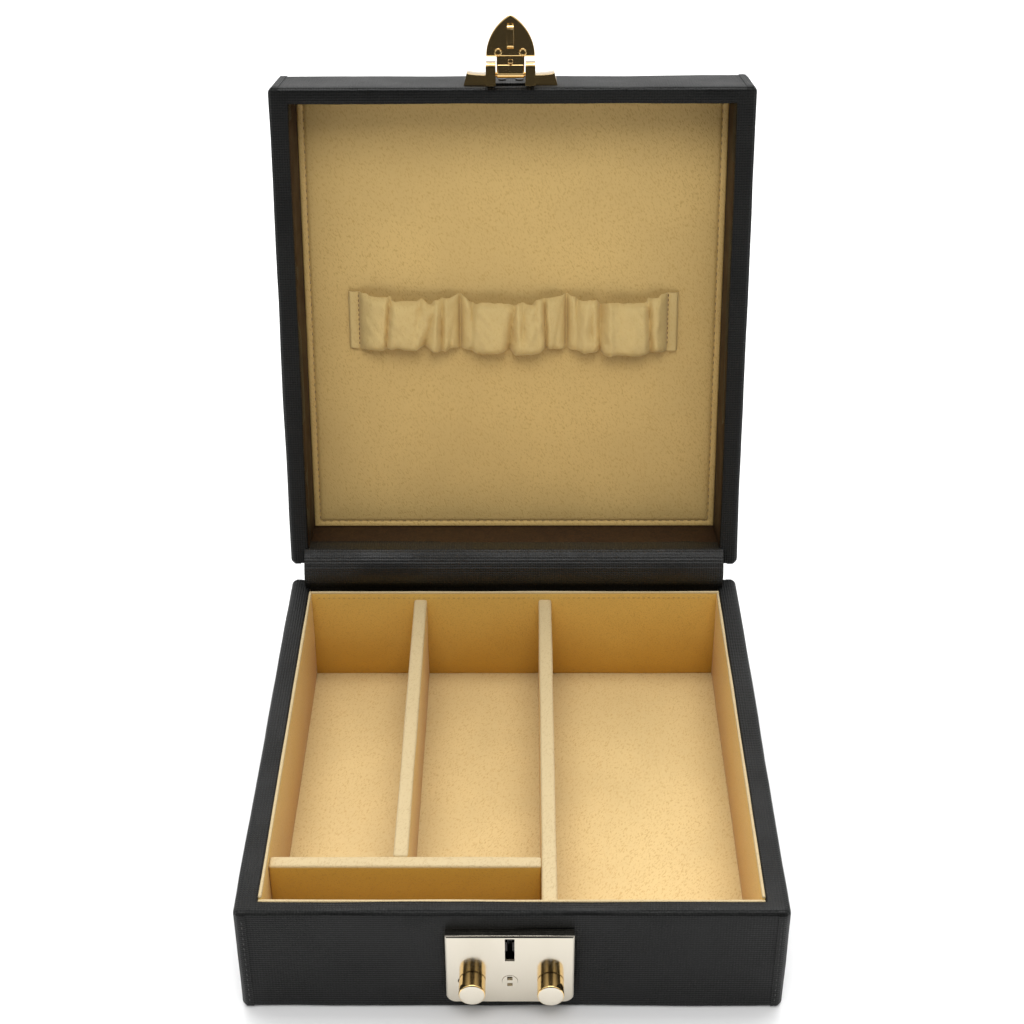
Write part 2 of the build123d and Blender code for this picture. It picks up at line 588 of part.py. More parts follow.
# ---- build ----------------------------------------------------------------------------------
make_base()
make_tray()
make_lock_case()
make_lock_inside()
for SIDE, NAME in ((-1, "left"), (1, "right")):
    make_knob(SIDE, NAME)
    make_spring(SIDE, NAME)
make_key_plug()
make_lid()
make_band()
make_bracket()
make_hasp()
make_hinge()

for NAME, SHAPE in NODES.items():
    export_step(SHAPE, "parts/" + NAME + ".step")
print(len(NODES), "nodes")
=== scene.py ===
# %% [markdown]
# # A leather jewelry box with its lid open
# The box is a shallow tray covered in dark leathercloth, with a lid on a leather hinge and a small
# gilt case lock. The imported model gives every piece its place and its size. This lesson adds what a
# workshop would add: covers with turned edges and seams, padded lining, stitches and polished metal.
# The frame is loaded first, because every later cell reads its places from it.

# %% Load the frame
import json
import math
import bmesh
import bpy
from mathutils import Matrix, Vector, noise
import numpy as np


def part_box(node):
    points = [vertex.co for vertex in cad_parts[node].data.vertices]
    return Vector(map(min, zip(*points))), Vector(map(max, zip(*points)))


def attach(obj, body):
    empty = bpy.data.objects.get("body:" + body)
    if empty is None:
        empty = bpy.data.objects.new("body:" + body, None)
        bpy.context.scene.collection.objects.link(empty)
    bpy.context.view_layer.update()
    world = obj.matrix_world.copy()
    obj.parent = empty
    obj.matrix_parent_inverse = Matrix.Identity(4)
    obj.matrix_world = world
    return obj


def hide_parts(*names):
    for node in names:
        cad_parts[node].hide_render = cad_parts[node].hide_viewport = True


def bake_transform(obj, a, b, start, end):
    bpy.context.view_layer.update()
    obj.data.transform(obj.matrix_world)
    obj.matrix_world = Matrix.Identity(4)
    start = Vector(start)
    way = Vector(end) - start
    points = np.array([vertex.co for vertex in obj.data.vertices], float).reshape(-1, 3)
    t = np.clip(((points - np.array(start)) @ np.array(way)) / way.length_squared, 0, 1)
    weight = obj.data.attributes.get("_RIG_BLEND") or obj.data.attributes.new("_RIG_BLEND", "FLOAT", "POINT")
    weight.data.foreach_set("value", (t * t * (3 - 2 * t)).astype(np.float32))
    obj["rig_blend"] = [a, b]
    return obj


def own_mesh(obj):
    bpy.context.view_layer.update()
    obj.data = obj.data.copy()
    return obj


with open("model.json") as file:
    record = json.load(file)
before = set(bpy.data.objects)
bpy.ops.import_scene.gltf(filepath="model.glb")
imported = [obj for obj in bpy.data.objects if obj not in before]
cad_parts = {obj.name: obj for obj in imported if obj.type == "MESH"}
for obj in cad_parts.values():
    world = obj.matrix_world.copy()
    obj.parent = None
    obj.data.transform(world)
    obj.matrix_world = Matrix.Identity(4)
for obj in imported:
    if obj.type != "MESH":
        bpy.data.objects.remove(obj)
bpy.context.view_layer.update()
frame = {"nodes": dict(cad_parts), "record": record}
MM = 0.001
scene = bpy.context.scene

# %% [markdown]
# ## Places on the open lid
# The lid rests open, so its pieces lie tilted. It is easier to shape a piece while the lid is shut and
# everything is square, and to turn it at the end. The hinge's axis and its range come from the joint,
# and one matrix opens the lid. Its inverse reads the sizes of the tilted nodes as if the lid were shut.

# %% The lid's turn
joints = {joint["name"]: joint for joint in frame["record"]["behaviour"]["joints"]}
hinge = Vector(joints["lid_hinge"]["pos_m"])
lid_angle = math.radians(joints["lid_hinge"]["range_deg"][1])
lid_open = (Matrix.Translation(hinge) @ Matrix.Rotation(-lid_angle, 4, "X")
            @ Matrix.Translation(-hinge))
hasp_pin_place = Vector(joints["hasp_hinge"]["pos_m"])
hasp_open = (Matrix.Translation(hasp_pin_place) @ Matrix.Rotation(math.radians(-90), 4, "X")
             @ Matrix.Translation(-hasp_pin_place)) @ lid_open


def shut_box(name, turn=lid_open):
    """Lowest and highest corner of a lid node, measured with the lid shut."""
    back = turn.inverted()
    spots = [back @ vertex.co for vertex in frame["nodes"][name].data.vertices]
    return (Vector([min(spot[axis] for spot in spots) for axis in range(3)]),
            Vector([max(spot[axis] for spot in spots) for axis in range(3)]))


base_low, base_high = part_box("base_left_leather")
base_low = Vector((base_low[0], base_low[1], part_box("base_bottom_leather")[0][2]))
base_high = Vector((-base_low[0], base_high[1], base_high[2]))
lid_low = Vector((base_low[0], base_low[1], shut_box("lid_left_leather")[0][2]))
lid_high = Vector((base_high[0], base_high[1], shut_box("lid_top_leather")[1][2]))
print("lid opens", round(math.degrees(lid_angle), 1), "degrees, base is",
      [round(size / MM, 1) for size in base_high - base_low], "mm")

# %% [markdown]
# ## Camera
# An open box shows most from above and in front. The lens is a short telephoto, so that the sides stay
# nearly parallel. The camera could be aimed with a constraint at a target, but
# three plain angles are easier to read: how far it looks down, how far it looks left, and its lean.

# %% Camera
camera_data = bpy.data.cameras.new("camera")
camera_data.sensor_width = 36.0
camera_data.lens = 66.05
camera_data.clip_start = 0.01
camera_data.clip_end = 100.0
camera = bpy.data.objects.new("camera", camera_data)
camera_place = Vector((4.28, -534.66, 476.09)) * MM
looks_down, looks_left, leans = math.radians(32.5), math.radians(0.446), math.radians(-0.3)
camera.matrix_world = (Matrix.Translation(camera_place) @ Matrix.Rotation(looks_left, 4, "Z")
                       @ Matrix.Rotation(math.pi / 2 - looks_down, 4, "X")
                       @ Matrix.Rotation(leans, 4, "Z"))
scene.collection.objects.link(camera)
scene.camera = camera
print("camera", [round(value, 3) for value in camera_place], "m")

# %% [markdown]
# ## Floor
# The floor is plain and pale, so that it doesn't tint the lining. A grid is enough. It reaches far
# behind the box but ends about two metres in front of it, because the polished lock mirrors what lies
# in front, and a lock that mirrors nothing but white looks like plastic.

# %% Floor
floor_half, floor_front = 6.0, -2.2
floor_bm = bmesh.new()
bmesh.ops.create_grid(floor_bm, x_segments=8, y_segments=8, size=floor_half)
bmesh.ops.translate(floor_bm, vec=(0, floor_front + floor_half, 0), verts=floor_bm.verts)
floor_mesh = bpy.data.meshes.new("studio_floor")
floor_bm.to_mesh(floor_mesh)
floor_bm.free()
floor = bpy.data.objects.new("studio_floor", floor_mesh)
scene.collection.objects.link(floor)
floor_paint = bpy.data.materials.new("studio_white")
floor_paint.use_nodes = True
floor_paint.node_tree.nodes["Principled BSDF"].inputs["Base Color"].default_value = (0.9, 0.9, 0.9, 1)
floor_paint.node_tree.nodes["Principled BSDF"].inputs["Roughness"].default_value = 0.7
floor_mesh.materials.append(floor_paint)
print("floor", round(floor.dimensions.x, 1), "m wide")

# %% [markdown]
# ## Light
# The light is a big soft ceiling: the world is bright overhead and fades towards the horizon, and more
# so in front. One softbox hangs over the box, and a weaker one fills the front. The world has a dark
# patch where the camera stands, for the polished metal to reflect. More lamps could do the same, but
# a few nodes give a softer fade and are easier to adjust.

# %% Light


def soft_range(tree, value, low, high, to_low, to_high):
    """Maps a value's range to another, clamped, with soft ends."""
    node = tree.nodes.new("ShaderNodeMapRange")
    node.interpolation_type = "SMOOTHSTEP"
    for socket, number in (("From Min", low), ("From Max", high), ("To Min", to_low), ("To Max", to_high)):
        node.inputs[socket].default_value = number
    tree.links.new(value, node.inputs["Value"])
    return node.outputs["Result"]


scene.view_settings.view_transform = "Standard"
world = bpy.data.worlds.new("studio")
scene.world = world
world.use_nodes = True
sky = world.node_tree
sky_light = sky.nodes["Background"]
sky_light.inputs["Strength"].default_value = 0.95
direction = sky.nodes.new("ShaderNodeTexCoord")
height = sky.nodes.new("ShaderNodeSeparateXYZ")
sky.links.new(direction.outputs["Generated"], height.inputs["Vector"])
brighter_behind = sky.nodes.new("ShaderNodeMath")
brighter_behind.operation = "MULTIPLY_ADD"
brighter_behind.inputs[1].default_value = 0.6
sky.links.new(height.outputs["Y"], brighter_behind.inputs[0])
sky.links.new(height.outputs["Z"], brighter_behind.inputs[2])
fade = soft_range(sky, brighter_behind.outputs["Value"], -0.15, 0.5, 0.055, 1.0)
facing_camera = sky.nodes.new("ShaderNodeVectorMath")
facing_camera.operation = "DOT_PRODUCT"
facing_camera.inputs[1].default_value = camera_place.normalized()
sky.links.new(direction.outputs["Generated"], facing_camera.inputs[0])
dark_camera = soft_range(sky, facing_camera.outputs["Value"], 0.93, 0.985, 1.0, 0.06)
sky_tone = sky.nodes.new("ShaderNodeMath")
sky_tone.operation = "MULTIPLY"
sky.links.new(fade, sky_tone.inputs[0])
sky.links.new(dark_camera, sky_tone.inputs[1])
sky.links.new(sky_tone.outputs["Value"], sky_light.inputs["Color"])


def softbox(name, place, target, size, watts):
    """A square area light that faces a point."""
    data = bpy.data.lights.new(name, "AREA")
    data.shape = "SQUARE"
    data.size = size
    data.energy = watts
    light = bpy.data.objects.new(name, data)
    toward = (Vector(target) - Vector(place)).to_track_quat("-Z", "Y")
    light.matrix_world = Matrix.Translation(place) @ toward.to_matrix().to_4x4()
    scene.collection.objects.link(light)
    return light


softbox("ceiling_softbox", (0.0, 0.75, 1.7), (0, 0, 0), 1.5, 30)
front_fill = softbox("front_fill", (0.0, -1.15, 1.75), (0, 0, 0.12), 1.0, 16)
front_fill.visible_glossy = False

# %% [markdown]
# ## A kit for finishes
# Each finish is a small node tree. Numbers that are even over the surface are set on the shader's
# own sockets.

# %% The finish kit


class Finish:
    """A material under construction."""

    def __init__(self, name, turn=0.0, **sockets):
        self.material = bpy.data.materials.new(name)
        self.material.use_nodes = True
        self.tree = self.material.node_tree
        self.shader = self.tree.nodes["Principled BSDF"]
        for socket, value in sockets.items():
            self.shader.inputs[socket.replace("_", " ")].default_value = value
        where = self.tree.nodes.new("ShaderNodeTexCoord")
        turned = self.tree.nodes.new("ShaderNodeMapping")
        turned.inputs["Rotation"].default_value = (turn, 0, 0)
        self.tree.links.new(where.outputs["Object"], turned.inputs["Vector"])
        self.place = turned.outputs["Vector"]

    def wire(self, source, node, socket):
        """Links a socket, or sets a plain value."""
        if isinstance(source, bpy.types.NodeSocket):
            self.tree.links.new(source, node.inputs[socket])
        else:
            node.inputs[socket].default_value = source

    def stretched(self, scale, place=None):
        """The position, scaled differently along each axis."""
        node = self.tree.nodes.new("ShaderNodeMapping")
        node.inputs["Scale"].default_value = scale
        self.wire(place or self.place, node, "Vector")
        return node.outputs["Vector"]

    def noise(self, scale, detail=2.0, place=None):
        node = self.tree.nodes.new("ShaderNodeTexNoise")
        node.inputs["Scale"].default_value = scale
        node.inputs["Detail"].default_value = detail
        self.wire(place or self.place, node, "Vector")
        return node.outputs["Fac"]

    def cells(self, scale):
        node = self.tree.nodes.new("ShaderNodeTexVoronoi")
        node.inputs["Scale"].default_value = scale
        self.wire(self.place, node, "Vector")
        return node.outputs["Distance"]

    def pores(self):
        """Short slanted pores: 0 inside a pore and 1 between them."""
        slanted = self.tree.nodes.new("ShaderNodeMapping")
        slanted.inputs["Rotation"].default_value = (0.6, 0.6, 0.6)
        self.wire(self.place, slanted, "Vector")
        fine = self.noise(2300.0, 2.0, self.stretched((1.0, 0.3, 1.0), slanted.outputs["Vector"]))
        return self.fit(fine, 0.34, 0.47, 0.0, 1.0)

    def threads(self, axis, pitch):
        """Ridges across one axis, a thread's pitch apart, that wander a little."""
        node = self.tree.nodes.new("ShaderNodeTexWave")
        node.bands_direction = axis
        node.inputs["Scale"].default_value = 2 * math.pi / pitch / 20
        node.inputs["Distortion"].default_value = 1.6
        node.inputs["Detail"].default_value = 2.0
        node.inputs["Detail Scale"].default_value = 2.5
        self.wire(self.place, node, "Vector")
        return node.outputs["Fac"]

    def math(self, operation, a, b):
        node = self.tree.nodes.new("ShaderNodeMath")
        node.operation = operation
        for value, index in ((a, 0), (b, 1)):
            self.wire(value, node, index)
        return node.outputs["Value"]

    def fit(self, value, low, high, to_low, to_high):
        return soft_range(self.tree, value, low, high, to_low, to_high)

    def mix(self, share, a, b):
        node = self.tree.nodes.new("ShaderNodeMix")
        node.data_type = "RGBA"
        colours = [socket for socket in node.inputs if socket.type == "RGBA"]
        self.wire(share, node, 0)
        for value, socket in ((a, colours[0]), (b, colours[1])):
            if isinstance(value, bpy.types.NodeSocket):
                self.tree.links.new(value, socket)
            else:
                socket.default_value = (*value, 1)
        return [socket for socket in node.outputs if socket.type == "RGBA"][0]

    def shades(self, value, low, high, dark, light):
        """A colour that goes from dark to light as the value goes from low to high."""
        return self.mix(self.fit(value, low, high, 0.0, 1.0), dark, light)

    def colour(self, value):
        self.wire(value, self.shader, "Base Color")

    def rough(self, value, low, high, smooth, matt):
        self.wire(self.fit(value, low, high, smooth, matt), self.shader, "Roughness")

    def bump(self, value, depth, below=None):
        """Relief of this depth in metres, laid over an earlier bump."""
        node = self.tree.nodes.new("ShaderNodeBump")
        node.inputs["Distance"].default_value = depth
        node.inputs["Strength"].default_value = 1.0
        self.wire(value, node, "Height")
        if below is not None:
            self.wire(below, node, "Normal")
        self.tree.links.new(node.outputs["Normal"], self.shader.inputs["Normal"])
        return node.outputs["Normal"]


print("finish kit ready")

# %% [markdown]
# ## The cover
# The cover is leathercloth with a linen grain: fine threads cross each other, about one to the
# millimetre. Threads along all three axes are added up. On a flat face the threads that run into the
# face are constant, so each face shows just the two that lie in it. Worn spots are a little lighter.

# %% Cover leather


def make_cover_leather(name, turn):
    finish = Finish(name, turn, Specular_IOR_Level=0.25)
    weave = finish.math("ADD", finish.threads("X", 0.95 * MM), finish.threads("Y", 0.95 * MM))
    weave = finish.math("ADD", weave, finish.threads("Z", 0.9 * MM))
    patches = finish.noise(38.0, 3.0)
    weave = finish.math("MULTIPLY", weave, finish.fit(patches, 0.3, 0.7, 0.55, 1.0))
    fibres = finish.noise(2600.0, 3.0)
    finish.colour(finish.shades(finish.math("MULTIPLY", weave, fibres), 0.25, 1.15,
                                (0.0012, 0.0014, 0.0013), (0.0078, 0.0082, 0.0074)))
    finish.rough(patches, 0.25, 0.75, 0.44, 0.56)
    first = finish.bump(weave, 0.00010)
    finish.bump(fibres, 0.00003, first)
    return finish.material


cover_leather = make_cover_leather("cover_leather", 0.0)
lid_cover_leather = make_cover_leather("lid_cover_leather", lid_angle)
hinge_skin = make_cover_leather("hinge_skin", 0.0)
hinge_skin.node_tree.nodes["Principled BSDF"].inputs["Specular IOR Level"].default_value = 0.6
print("made", cover_leather.name, lid_cover_leather.name, hinge_skin.name)

# %% [markdown]
# ## The pale lining
# The tray, the lid's pad and the band are lined with a soft beige skin. Its grain is short slanted
# pores, which are a noise squeezed in one slanted direction, over a faint pebbling. The colour drifts a
# little from place to place, as on a dyed skin.

# %% Pale lining


def make_pale_lining(name, turn, colour, deep):
    finish = Finish(name, turn, Specular_IOR_Level=0.35, Sheen_Weight=0.12, Sheen_Roughness=0.4)
    pits = finish.pores()
    pebble = finish.cells(900.0)
    drift = finish.noise(26.0, 3.0)
    tone = finish.shades(drift, 0.3, 0.7, tuple(part * 0.93 for part in colour), colour)
    finish.colour(finish.mix(pits, deep, tone))
    finish.rough(drift, 0.3, 0.7, 0.52, 0.62)
    first = finish.bump(pits, 0.00005)
    finish.bump(pebble, 0.00004, first)
    return finish.material


tray_lining = make_pale_lining("tray_lining", 0.0, (0.67, 0.505, 0.235), (0.555, 0.38, 0.155))
pad_lining = make_pale_lining("pad_lining", lid_angle, (0.72, 0.50, 0.188), (0.60, 0.39, 0.128))
band_lining = make_pale_lining("band_lining", lid_angle, (0.70, 0.515, 0.215), (0.635, 0.455, 0.175))
print("made", tray_lining.name, pad_lining.name, band_lining.name)

# %% [markdown]
# ## Cards in a deeper tone
# The upright cards of the tray are lined in the same skin in a deeper tone, with painted shade in it:
# golden on top and orange-brown low down, where shade and light bounced between the cards fall. The
# folded top edges, which face the light, are painted the palest. The tone follows the height above the
# floor, up to each card's own top.

# %% Card lining


def make_card_lining(name, top, card_low, card_high):
    finish = Finish(name, 0.0, Specular_IOR_Level=0.3, Sheen_Weight=0.1, Sheen_Roughness=0.4)
    height = finish.tree.nodes.new("ShaderNodeSeparateXYZ")
    finish.wire(finish.place, height, "Vector")
    height = height.outputs["Z"]
    drift = finish.noise(30.0, 3.0)
    # Painted shade: the tone deepens towards the floor, where shade and light bounced between the cards fall; its
    # border wavers.
    wavy = finish.math("MULTIPLY", finish.math("SUBTRACT", drift, 0.5), 14 * MM)
    shade_height = finish.math("ADD", height, wavy)
    tone = finish.shades(shade_height, 2 * MM, top, card_low, card_high)
    # Painted light and shade: the folded top edge, which faces the light, gets the palest tone, and the sides
    # below it the painted shade.
    tone = finish.mix(finish.fit(height, top - 1.1 * MM, top - 0.35 * MM, 0.0, 1.0), tone, lit_edge_tone)
    pits = finish.pores()
    finish.colour(finish.mix(pits, finish.mix(0.2, tone, card_pore), tone))
    finish.rough(drift, 0.3, 0.7, 0.5, 0.62)
    first = finish.bump(pits, 0.00005)
    finish.bump(finish.noise(900.0, 3.0), 0.00006, first)
    return finish.material


# Painted shade tones, low and high: the walls', and a darker copy for the cross divider, which faces the front
# and gets less light.
wall_tones = ((0.50, 0.265, 0.034), (0.74, 0.49, 0.125))
cross_shade_tones = ((0.33, 0.155, 0.014), (0.56, 0.33, 0.06))
lit_edge_tone, card_pore = (0.51, 0.40, 0.22), (0.22, 0.10, 0.018)
print("card lining ready")

# %% [markdown]
# ## Brown lining and boards
# The lid's inner walls are lined in dark brown card, whose short fibres a fine noise gives. The boards
# under the cover are never seen whole, but a part taken off still needs to look like wood fibre, so a
# noise is drawn out along the board.

# %% Brown lining and boards


def make_brown_lining():
    finish = Finish("brown_lining", lid_angle, Specular_IOR_Level=0.3)
    fibres = finish.noise(1400.0, 3.0)
    drift = finish.noise(60.0, 2.0)
    finish.colour(finish.shades(fibres, 0.3, 0.7, (0.018, 0.0078, 0.0025), (0.046, 0.020, 0.0062)))
    finish.rough(drift, 0.3, 0.7, 0.6, 0.75)
    finish.bump(fibres, 0.00005)
    return finish.material


def make_board():
    finish = Finish("board", 0.0, Specular_IOR_Level=0.3)
    grain = finish.noise(300.0, 4.0, finish.stretched((0.15, 1.0, 1.0)))
    finish.colour(finish.shades(grain, 0.35, 0.65, (0.30, 0.18, 0.085), (0.46, 0.31, 0.17)))
    finish.rough(grain, 0.3, 0.7, 0.6, 0.8)
    finish.bump(grain, 0.0001)
    return finish.material


brown_lining = make_brown_lining()
board = make_board()
print("made", brown_lining.name, board.name)

# %% [markdown]
# ## Thread and metal
# The thread is a twisted yarn, so its colour changes along it in short stretches. The lock is gilt and
# polished, with faint wiping marks that show mostly in its gloss: a wide noise for the wipes, times a
# fine one for the specks. The inner steel is duller, and the lock's face is paler than the gilt.

# %% Thread and metals


def make_thread(name, dark, light):
    finish = Finish(name, 0.0, Specular_IOR_Level=0.3, Sheen_Weight=0.3)
    twist = finish.noise(2400.0, 2.0, finish.stretched((1.0, 0.5, 0.7)))
    finish.colour(finish.shades(twist, 0.35, 0.65, dark, light))
    finish.rough(twist, 0.3, 0.7, 0.55, 0.75)
    finish.bump(twist, 0.00004)
    return finish.material


def make_metal(name, colour, worn, gloss):
    finish = Finish(name, 0.0, Metallic=1.0)
    wipes = finish.noise(70.0, 4.0, finish.stretched((1.0, 0.6, 0.35)))
    specks = finish.noise(900.0, 2.0)
    finish.colour(finish.shades(wipes, 0.35, 0.7, colour, worn))
    finish.rough(finish.math("MULTIPLY", wipes, specks), 0.1, 0.4, gloss, gloss + 0.07)
    finish.bump(specks, 0.000002)
    return finish.material


beige_thread = make_thread("beige_thread", (0.24, 0.14, 0.045), (0.50, 0.34, 0.15))
seam_thread = make_thread("seam_thread", (0.11, 0.038, 0.012), (0.24, 0.10, 0.035))
dark_thread = make_thread("dark_thread", (0.004, 0.004, 0.004), (0.03, 0.03, 0.028))
gilt_metal = make_metal("gilt_metal", (0.86, 0.61, 0.27), (0.81, 0.56, 0.23), 0.06)
# Painted shade: a near-black steel for the catches in the lock's slot and the bracket's rivets, which lie in
# shade.
shade_steel = make_metal("shade_steel", (0.055, 0.052, 0.050), (0.035, 0.033, 0.031), 0.30)
plate_metal = make_metal("plate_metal", (0.65, 0.60, 0.505), (0.62, 0.57, 0.475), 0.10)
plain_steel = make_metal("plain_steel", (0.56, 0.57, 0.58), (0.48, 0.48, 0.49), 0.28)
print("made", beige_thread.name, dark_thread.name, gilt_metal.name, plain_steel.name)

# %% [markdown]
# ## From a bmesh to a piece
# Every new piece ends the same way: it is put in place, given its material, its smooth shading with
# crisp edges, its body and the node that it stands for. One function does this for all of them. The
# others cut, round and ripple a mesh: skin over board is never quite flat.

# %% Finish a piece
flat_within = 4e-6


def finish_piece(name, bm, material, body, replaces=(), turn=None, crisp=35.0, square=None):
    """Makes the object, in place, on its body. Faces square to a frame stay flat, for clean mirrors."""
    if turn is not None:
        bmesh.ops.transform(bm, matrix=turn, verts=bm.verts)
    mesh = bpy.data.meshes.new(name)
    bm.to_mesh(mesh)
    bm.free()
    piece = bpy.data.objects.new(name, mesh)
    scene.collection.objects.link(piece)
    mesh.materials.append(material)
    mesh.shade_smooth()
    mesh.set_sharp_from_angle(angle=math.radians(crisp))
    if square is not None:
        local = [square.inverted() @ vertex.co for vertex in mesh.vertices]
        for face in mesh.polygons:
            spots = [local[index] for index in face.vertices]
            spread = [max(spot[axis] for spot in spots) - min(spot[axis] for spot in spots)
                      for axis in range(3)]
            face.use_smooth = min(spread) > flat_within
    if body:
        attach(piece, body)
    if replaces:
        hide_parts(*replaces)
    return piece


def block_bm(low, high):
    """A plain block between two corners, to be shaped."""
    bm = bmesh.new()
    bmesh.ops.create_cube(bm, size=1.0)
    bmesh.ops.scale(bm, vec=Vector(high) - Vector(low), verts=bm.verts)
    bmesh.ops.translate(bm, vec=(Vector(low) + Vector(high)) / 2, verts=bm.verts)
    return bm


def round_edges(bm, edges, radius, segments):
    bmesh.ops.bevel(bm, geom=list(edges), offset=radius, offset_type="OFFSET", affect="EDGES",
                    segments=segments, profile=0.5, material=-1, clamp_overlap=False)


def cut(bm, axis, value):
    """Cuts the whole mesh with a plane square to one axis."""
    normal = Vector([float(index == axis) for index in range(3)])
    bmesh.ops.bisect_plane(bm, geom=bm.verts[:] + bm.edges[:] + bm.faces[:], dist=1e-7,
                           plane_co=normal * value, plane_no=normal)


def cut_grid(bm, steps):
    """Cuts the mesh into cells of about these sizes, so that it can bend."""
    for axis, step in enumerate(steps):
        if not step:
            continue
        low = min(vertex.co[axis] for vertex in bm.verts)
        high = max(vertex.co[axis] for vertex in bm.verts)
        count = max(1, round((high - low) / step))
        for index in range(1, count):
            cut(bm, axis, low + (high - low) * index / count)


def ripple(bm, depth, pitch, seed):
    """Moves points along their normals by smooth noise, all worked out before the first moves."""
    bm.normal_update()
    shift = Vector((seed, seed * 2, -seed))
    moves = [vertex.normal * depth * noise.noise(vertex.co / pitch + shift) for vertex in bm.verts]
    for vertex, move in zip(bm.verts, moves):
        vertex.co += move


def node_bm(name):
    """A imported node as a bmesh, with its loose triangles merged."""
    bm = bmesh.new()
    bm.from_mesh(frame["nodes"][name].data)
    bmesh.ops.remove_doubles(bm, verts=bm.verts, dist=1e-6)
    return bm


print("shaping kit ready")

# %% [markdown]
# ## Base and lid covers
# The real cover is five skins to each half: the side skins turn round the corners and lap a few
# millimetres onto front and back, and the rims are turned in over the edge of the board. The cover is
# made once as an open rounded block and then taken apart along its seams, so that the pieces meet. Each
# is solidified to the skin's thickness. The laps are lifted a little, so that their cut edges show.

# %% Build a cover
corner_round = 2.2 * MM
edge_round = 1.9 * MM
skin = 0.8 * MM
turned_in = 9.0 * MM
lap_lift = 0.28 * MM
# across the box: where the laps start, where they are stitched, and where they bend into the corner
lap_from, lap_stitched, lap_bends = 86.0 * MM, 87.2 * MM, 88.6 * MM
# beyond this, along the box, a point is on the front or the back
ends_from = 94.0 * MM


def cover_shell(low, high, mouth_low, mouth_high, mouth_up, seed):
    """The outside of a half box with its rim and the skin turned in over the edge."""
    bm = block_bm(low, high)
    upright = [edge for edge in bm.edges
               if abs(edge.verts[0].co.z - edge.verts[1].co.z) > MM]
    round_edges(bm, upright, corner_round, 5)
    ends = [edge for edge in bm.edges
            if abs(edge.verts[0].co.z - edge.verts[1].co.z) < 1e-6]
    round_edges(bm, ends, edge_round, 5)
    rim = high.z if mouth_up else low.z
    for axis, values in ((0, (mouth_low.x, mouth_high.x)), (1, (mouth_low.y, mouth_high.y))):
        for value in values:
            cut(bm, axis, value)
    open_faces = [face for face in bm.faces
                  if abs(face.calc_center_median().z - rim) < 1e-5
                  and mouth_low.x < face.calc_center_median().x < mouth_high.x
                  and mouth_low.y < face.calc_center_median().y < mouth_high.y]
    bmesh.ops.delete(bm, geom=open_faces, context="FACES")
    lip = [edge for edge in bm.edges if edge.is_boundary]
    made = bmesh.ops.extrude_edge_only(bm, edges=lip)
    down = Vector((0, 0, -turned_in if mouth_up else turned_in))
    bmesh.ops.translate(bm, vec=down, verts=[item for item in made["geom"]
                                             if isinstance(item, bmesh.types.BMVert)])
    round_edges(bm, lip, 0.5 * MM, 3)
    for value in (-lap_from, lap_from):
        cut(bm, 0, value)
    cut_grid(bm, (6.0 * MM, 6.0 * MM, 6.0 * MM))
    bmesh.ops.recalc_face_normals(bm, faces=bm.faces)
    ripple(bm, 0.32 * MM, 42.0 * MM, seed)
    ripple(bm, 0.12 * MM, 13.0 * MM, seed + 5)
    return bm


def skin_piece(half, part, shell, belongs, material, turn):
    """One skin of a cover: its faces, its lifted laps and its thickness."""
    bm = shell.copy()
    others = [face for face in bm.faces if not belongs(face.calc_center_median())]
    bmesh.ops.delete(bm, geom=others, context="FACES")
    if part in ("left", "right"):
        for vertex in bm.verts:
            if abs(vertex.co.x) < lap_bends and abs(vertex.co.y) > ends_from:
                vertex.co.y += math.copysign(lap_lift, vertex.co.y)
    bmesh.ops.solidify(bm, geom=bm.faces[:], thickness=skin)
    return finish_piece(f"{half}_{part}_cover", bm, material, half,
                        (f"{half}_{part}_leather",), turn)


def cover_regions(mouth_low, mouth_high, flat_low, flat_high):
    """Which point of the cover belongs to which skin."""
    def flat(spot):
        return flat_low < spot.z < flat_high

    def side(spot):
        over_rim = abs(spot.x) > mouth_high.x - 1e-5 and mouth_low.y < spot.y < mouth_high.y
        return not flat(spot) and (abs(spot.x) > lap_from or over_rim)

    return {
        "left": lambda spot: side(spot) and spot.x < 0,
        "right": lambda spot: side(spot) and spot.x > 0,
        "front": lambda spot: not flat(spot) and not side(spot) and spot.y < 0,
        "back": lambda spot: not flat(spot) and not side(spot) and spot.y > 0,
        "flat": flat,
    }


print("cover kit ready")

# %% [markdown]
# ## The skins of the covers
# The mouths of the two halves come from the tray's floor and from the lid's panel. The shells are cut
# along their seams, and each skin rides on its own half. Cutting one shell is surer than modelling ten
# skins, because their borders can't miss each other.

# %% Cut the covers into their skins
tray_low, tray_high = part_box("floor_card")
groove_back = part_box("base_back_leather")[0][1]
base_mouth = (Vector((tray_low[0], tray_low[1], 0)), Vector((tray_high[0], groove_back, 0)))
panel_low, panel_high = shut_box("lid_panel")
lid_mouth = (Vector((panel_low.x, panel_low.y, 0)), Vector((panel_high.x, panel_high.y, 0)))
covers = {
    "base": (cover_shell(base_low, base_high, *base_mouth, True, 1.0), base_mouth, -1.0,
             base_low.z + skin, "bottom", cover_leather, None),
    "lid": (cover_shell(lid_low, lid_high, *lid_mouth, False, 9.0), lid_mouth, lid_high.z - skin,
            1.0, "top", lid_cover_leather, lid_open),
}
for half, (shell, mouth, flat_low, flat_high, flat_name, leather, turn) in covers.items():
    cut(shell, 2, flat_high if half == "base" else flat_low)
    regions = cover_regions(*mouth, flat_low, flat_high)
    for region, belongs in regions.items():
        part = flat_name if region == "flat" else region
        piece = skin_piece(half, part, shell, belongs, leather, turn)
        print(piece.name, len(piece.data.polygons), "faces")
    shell.free()

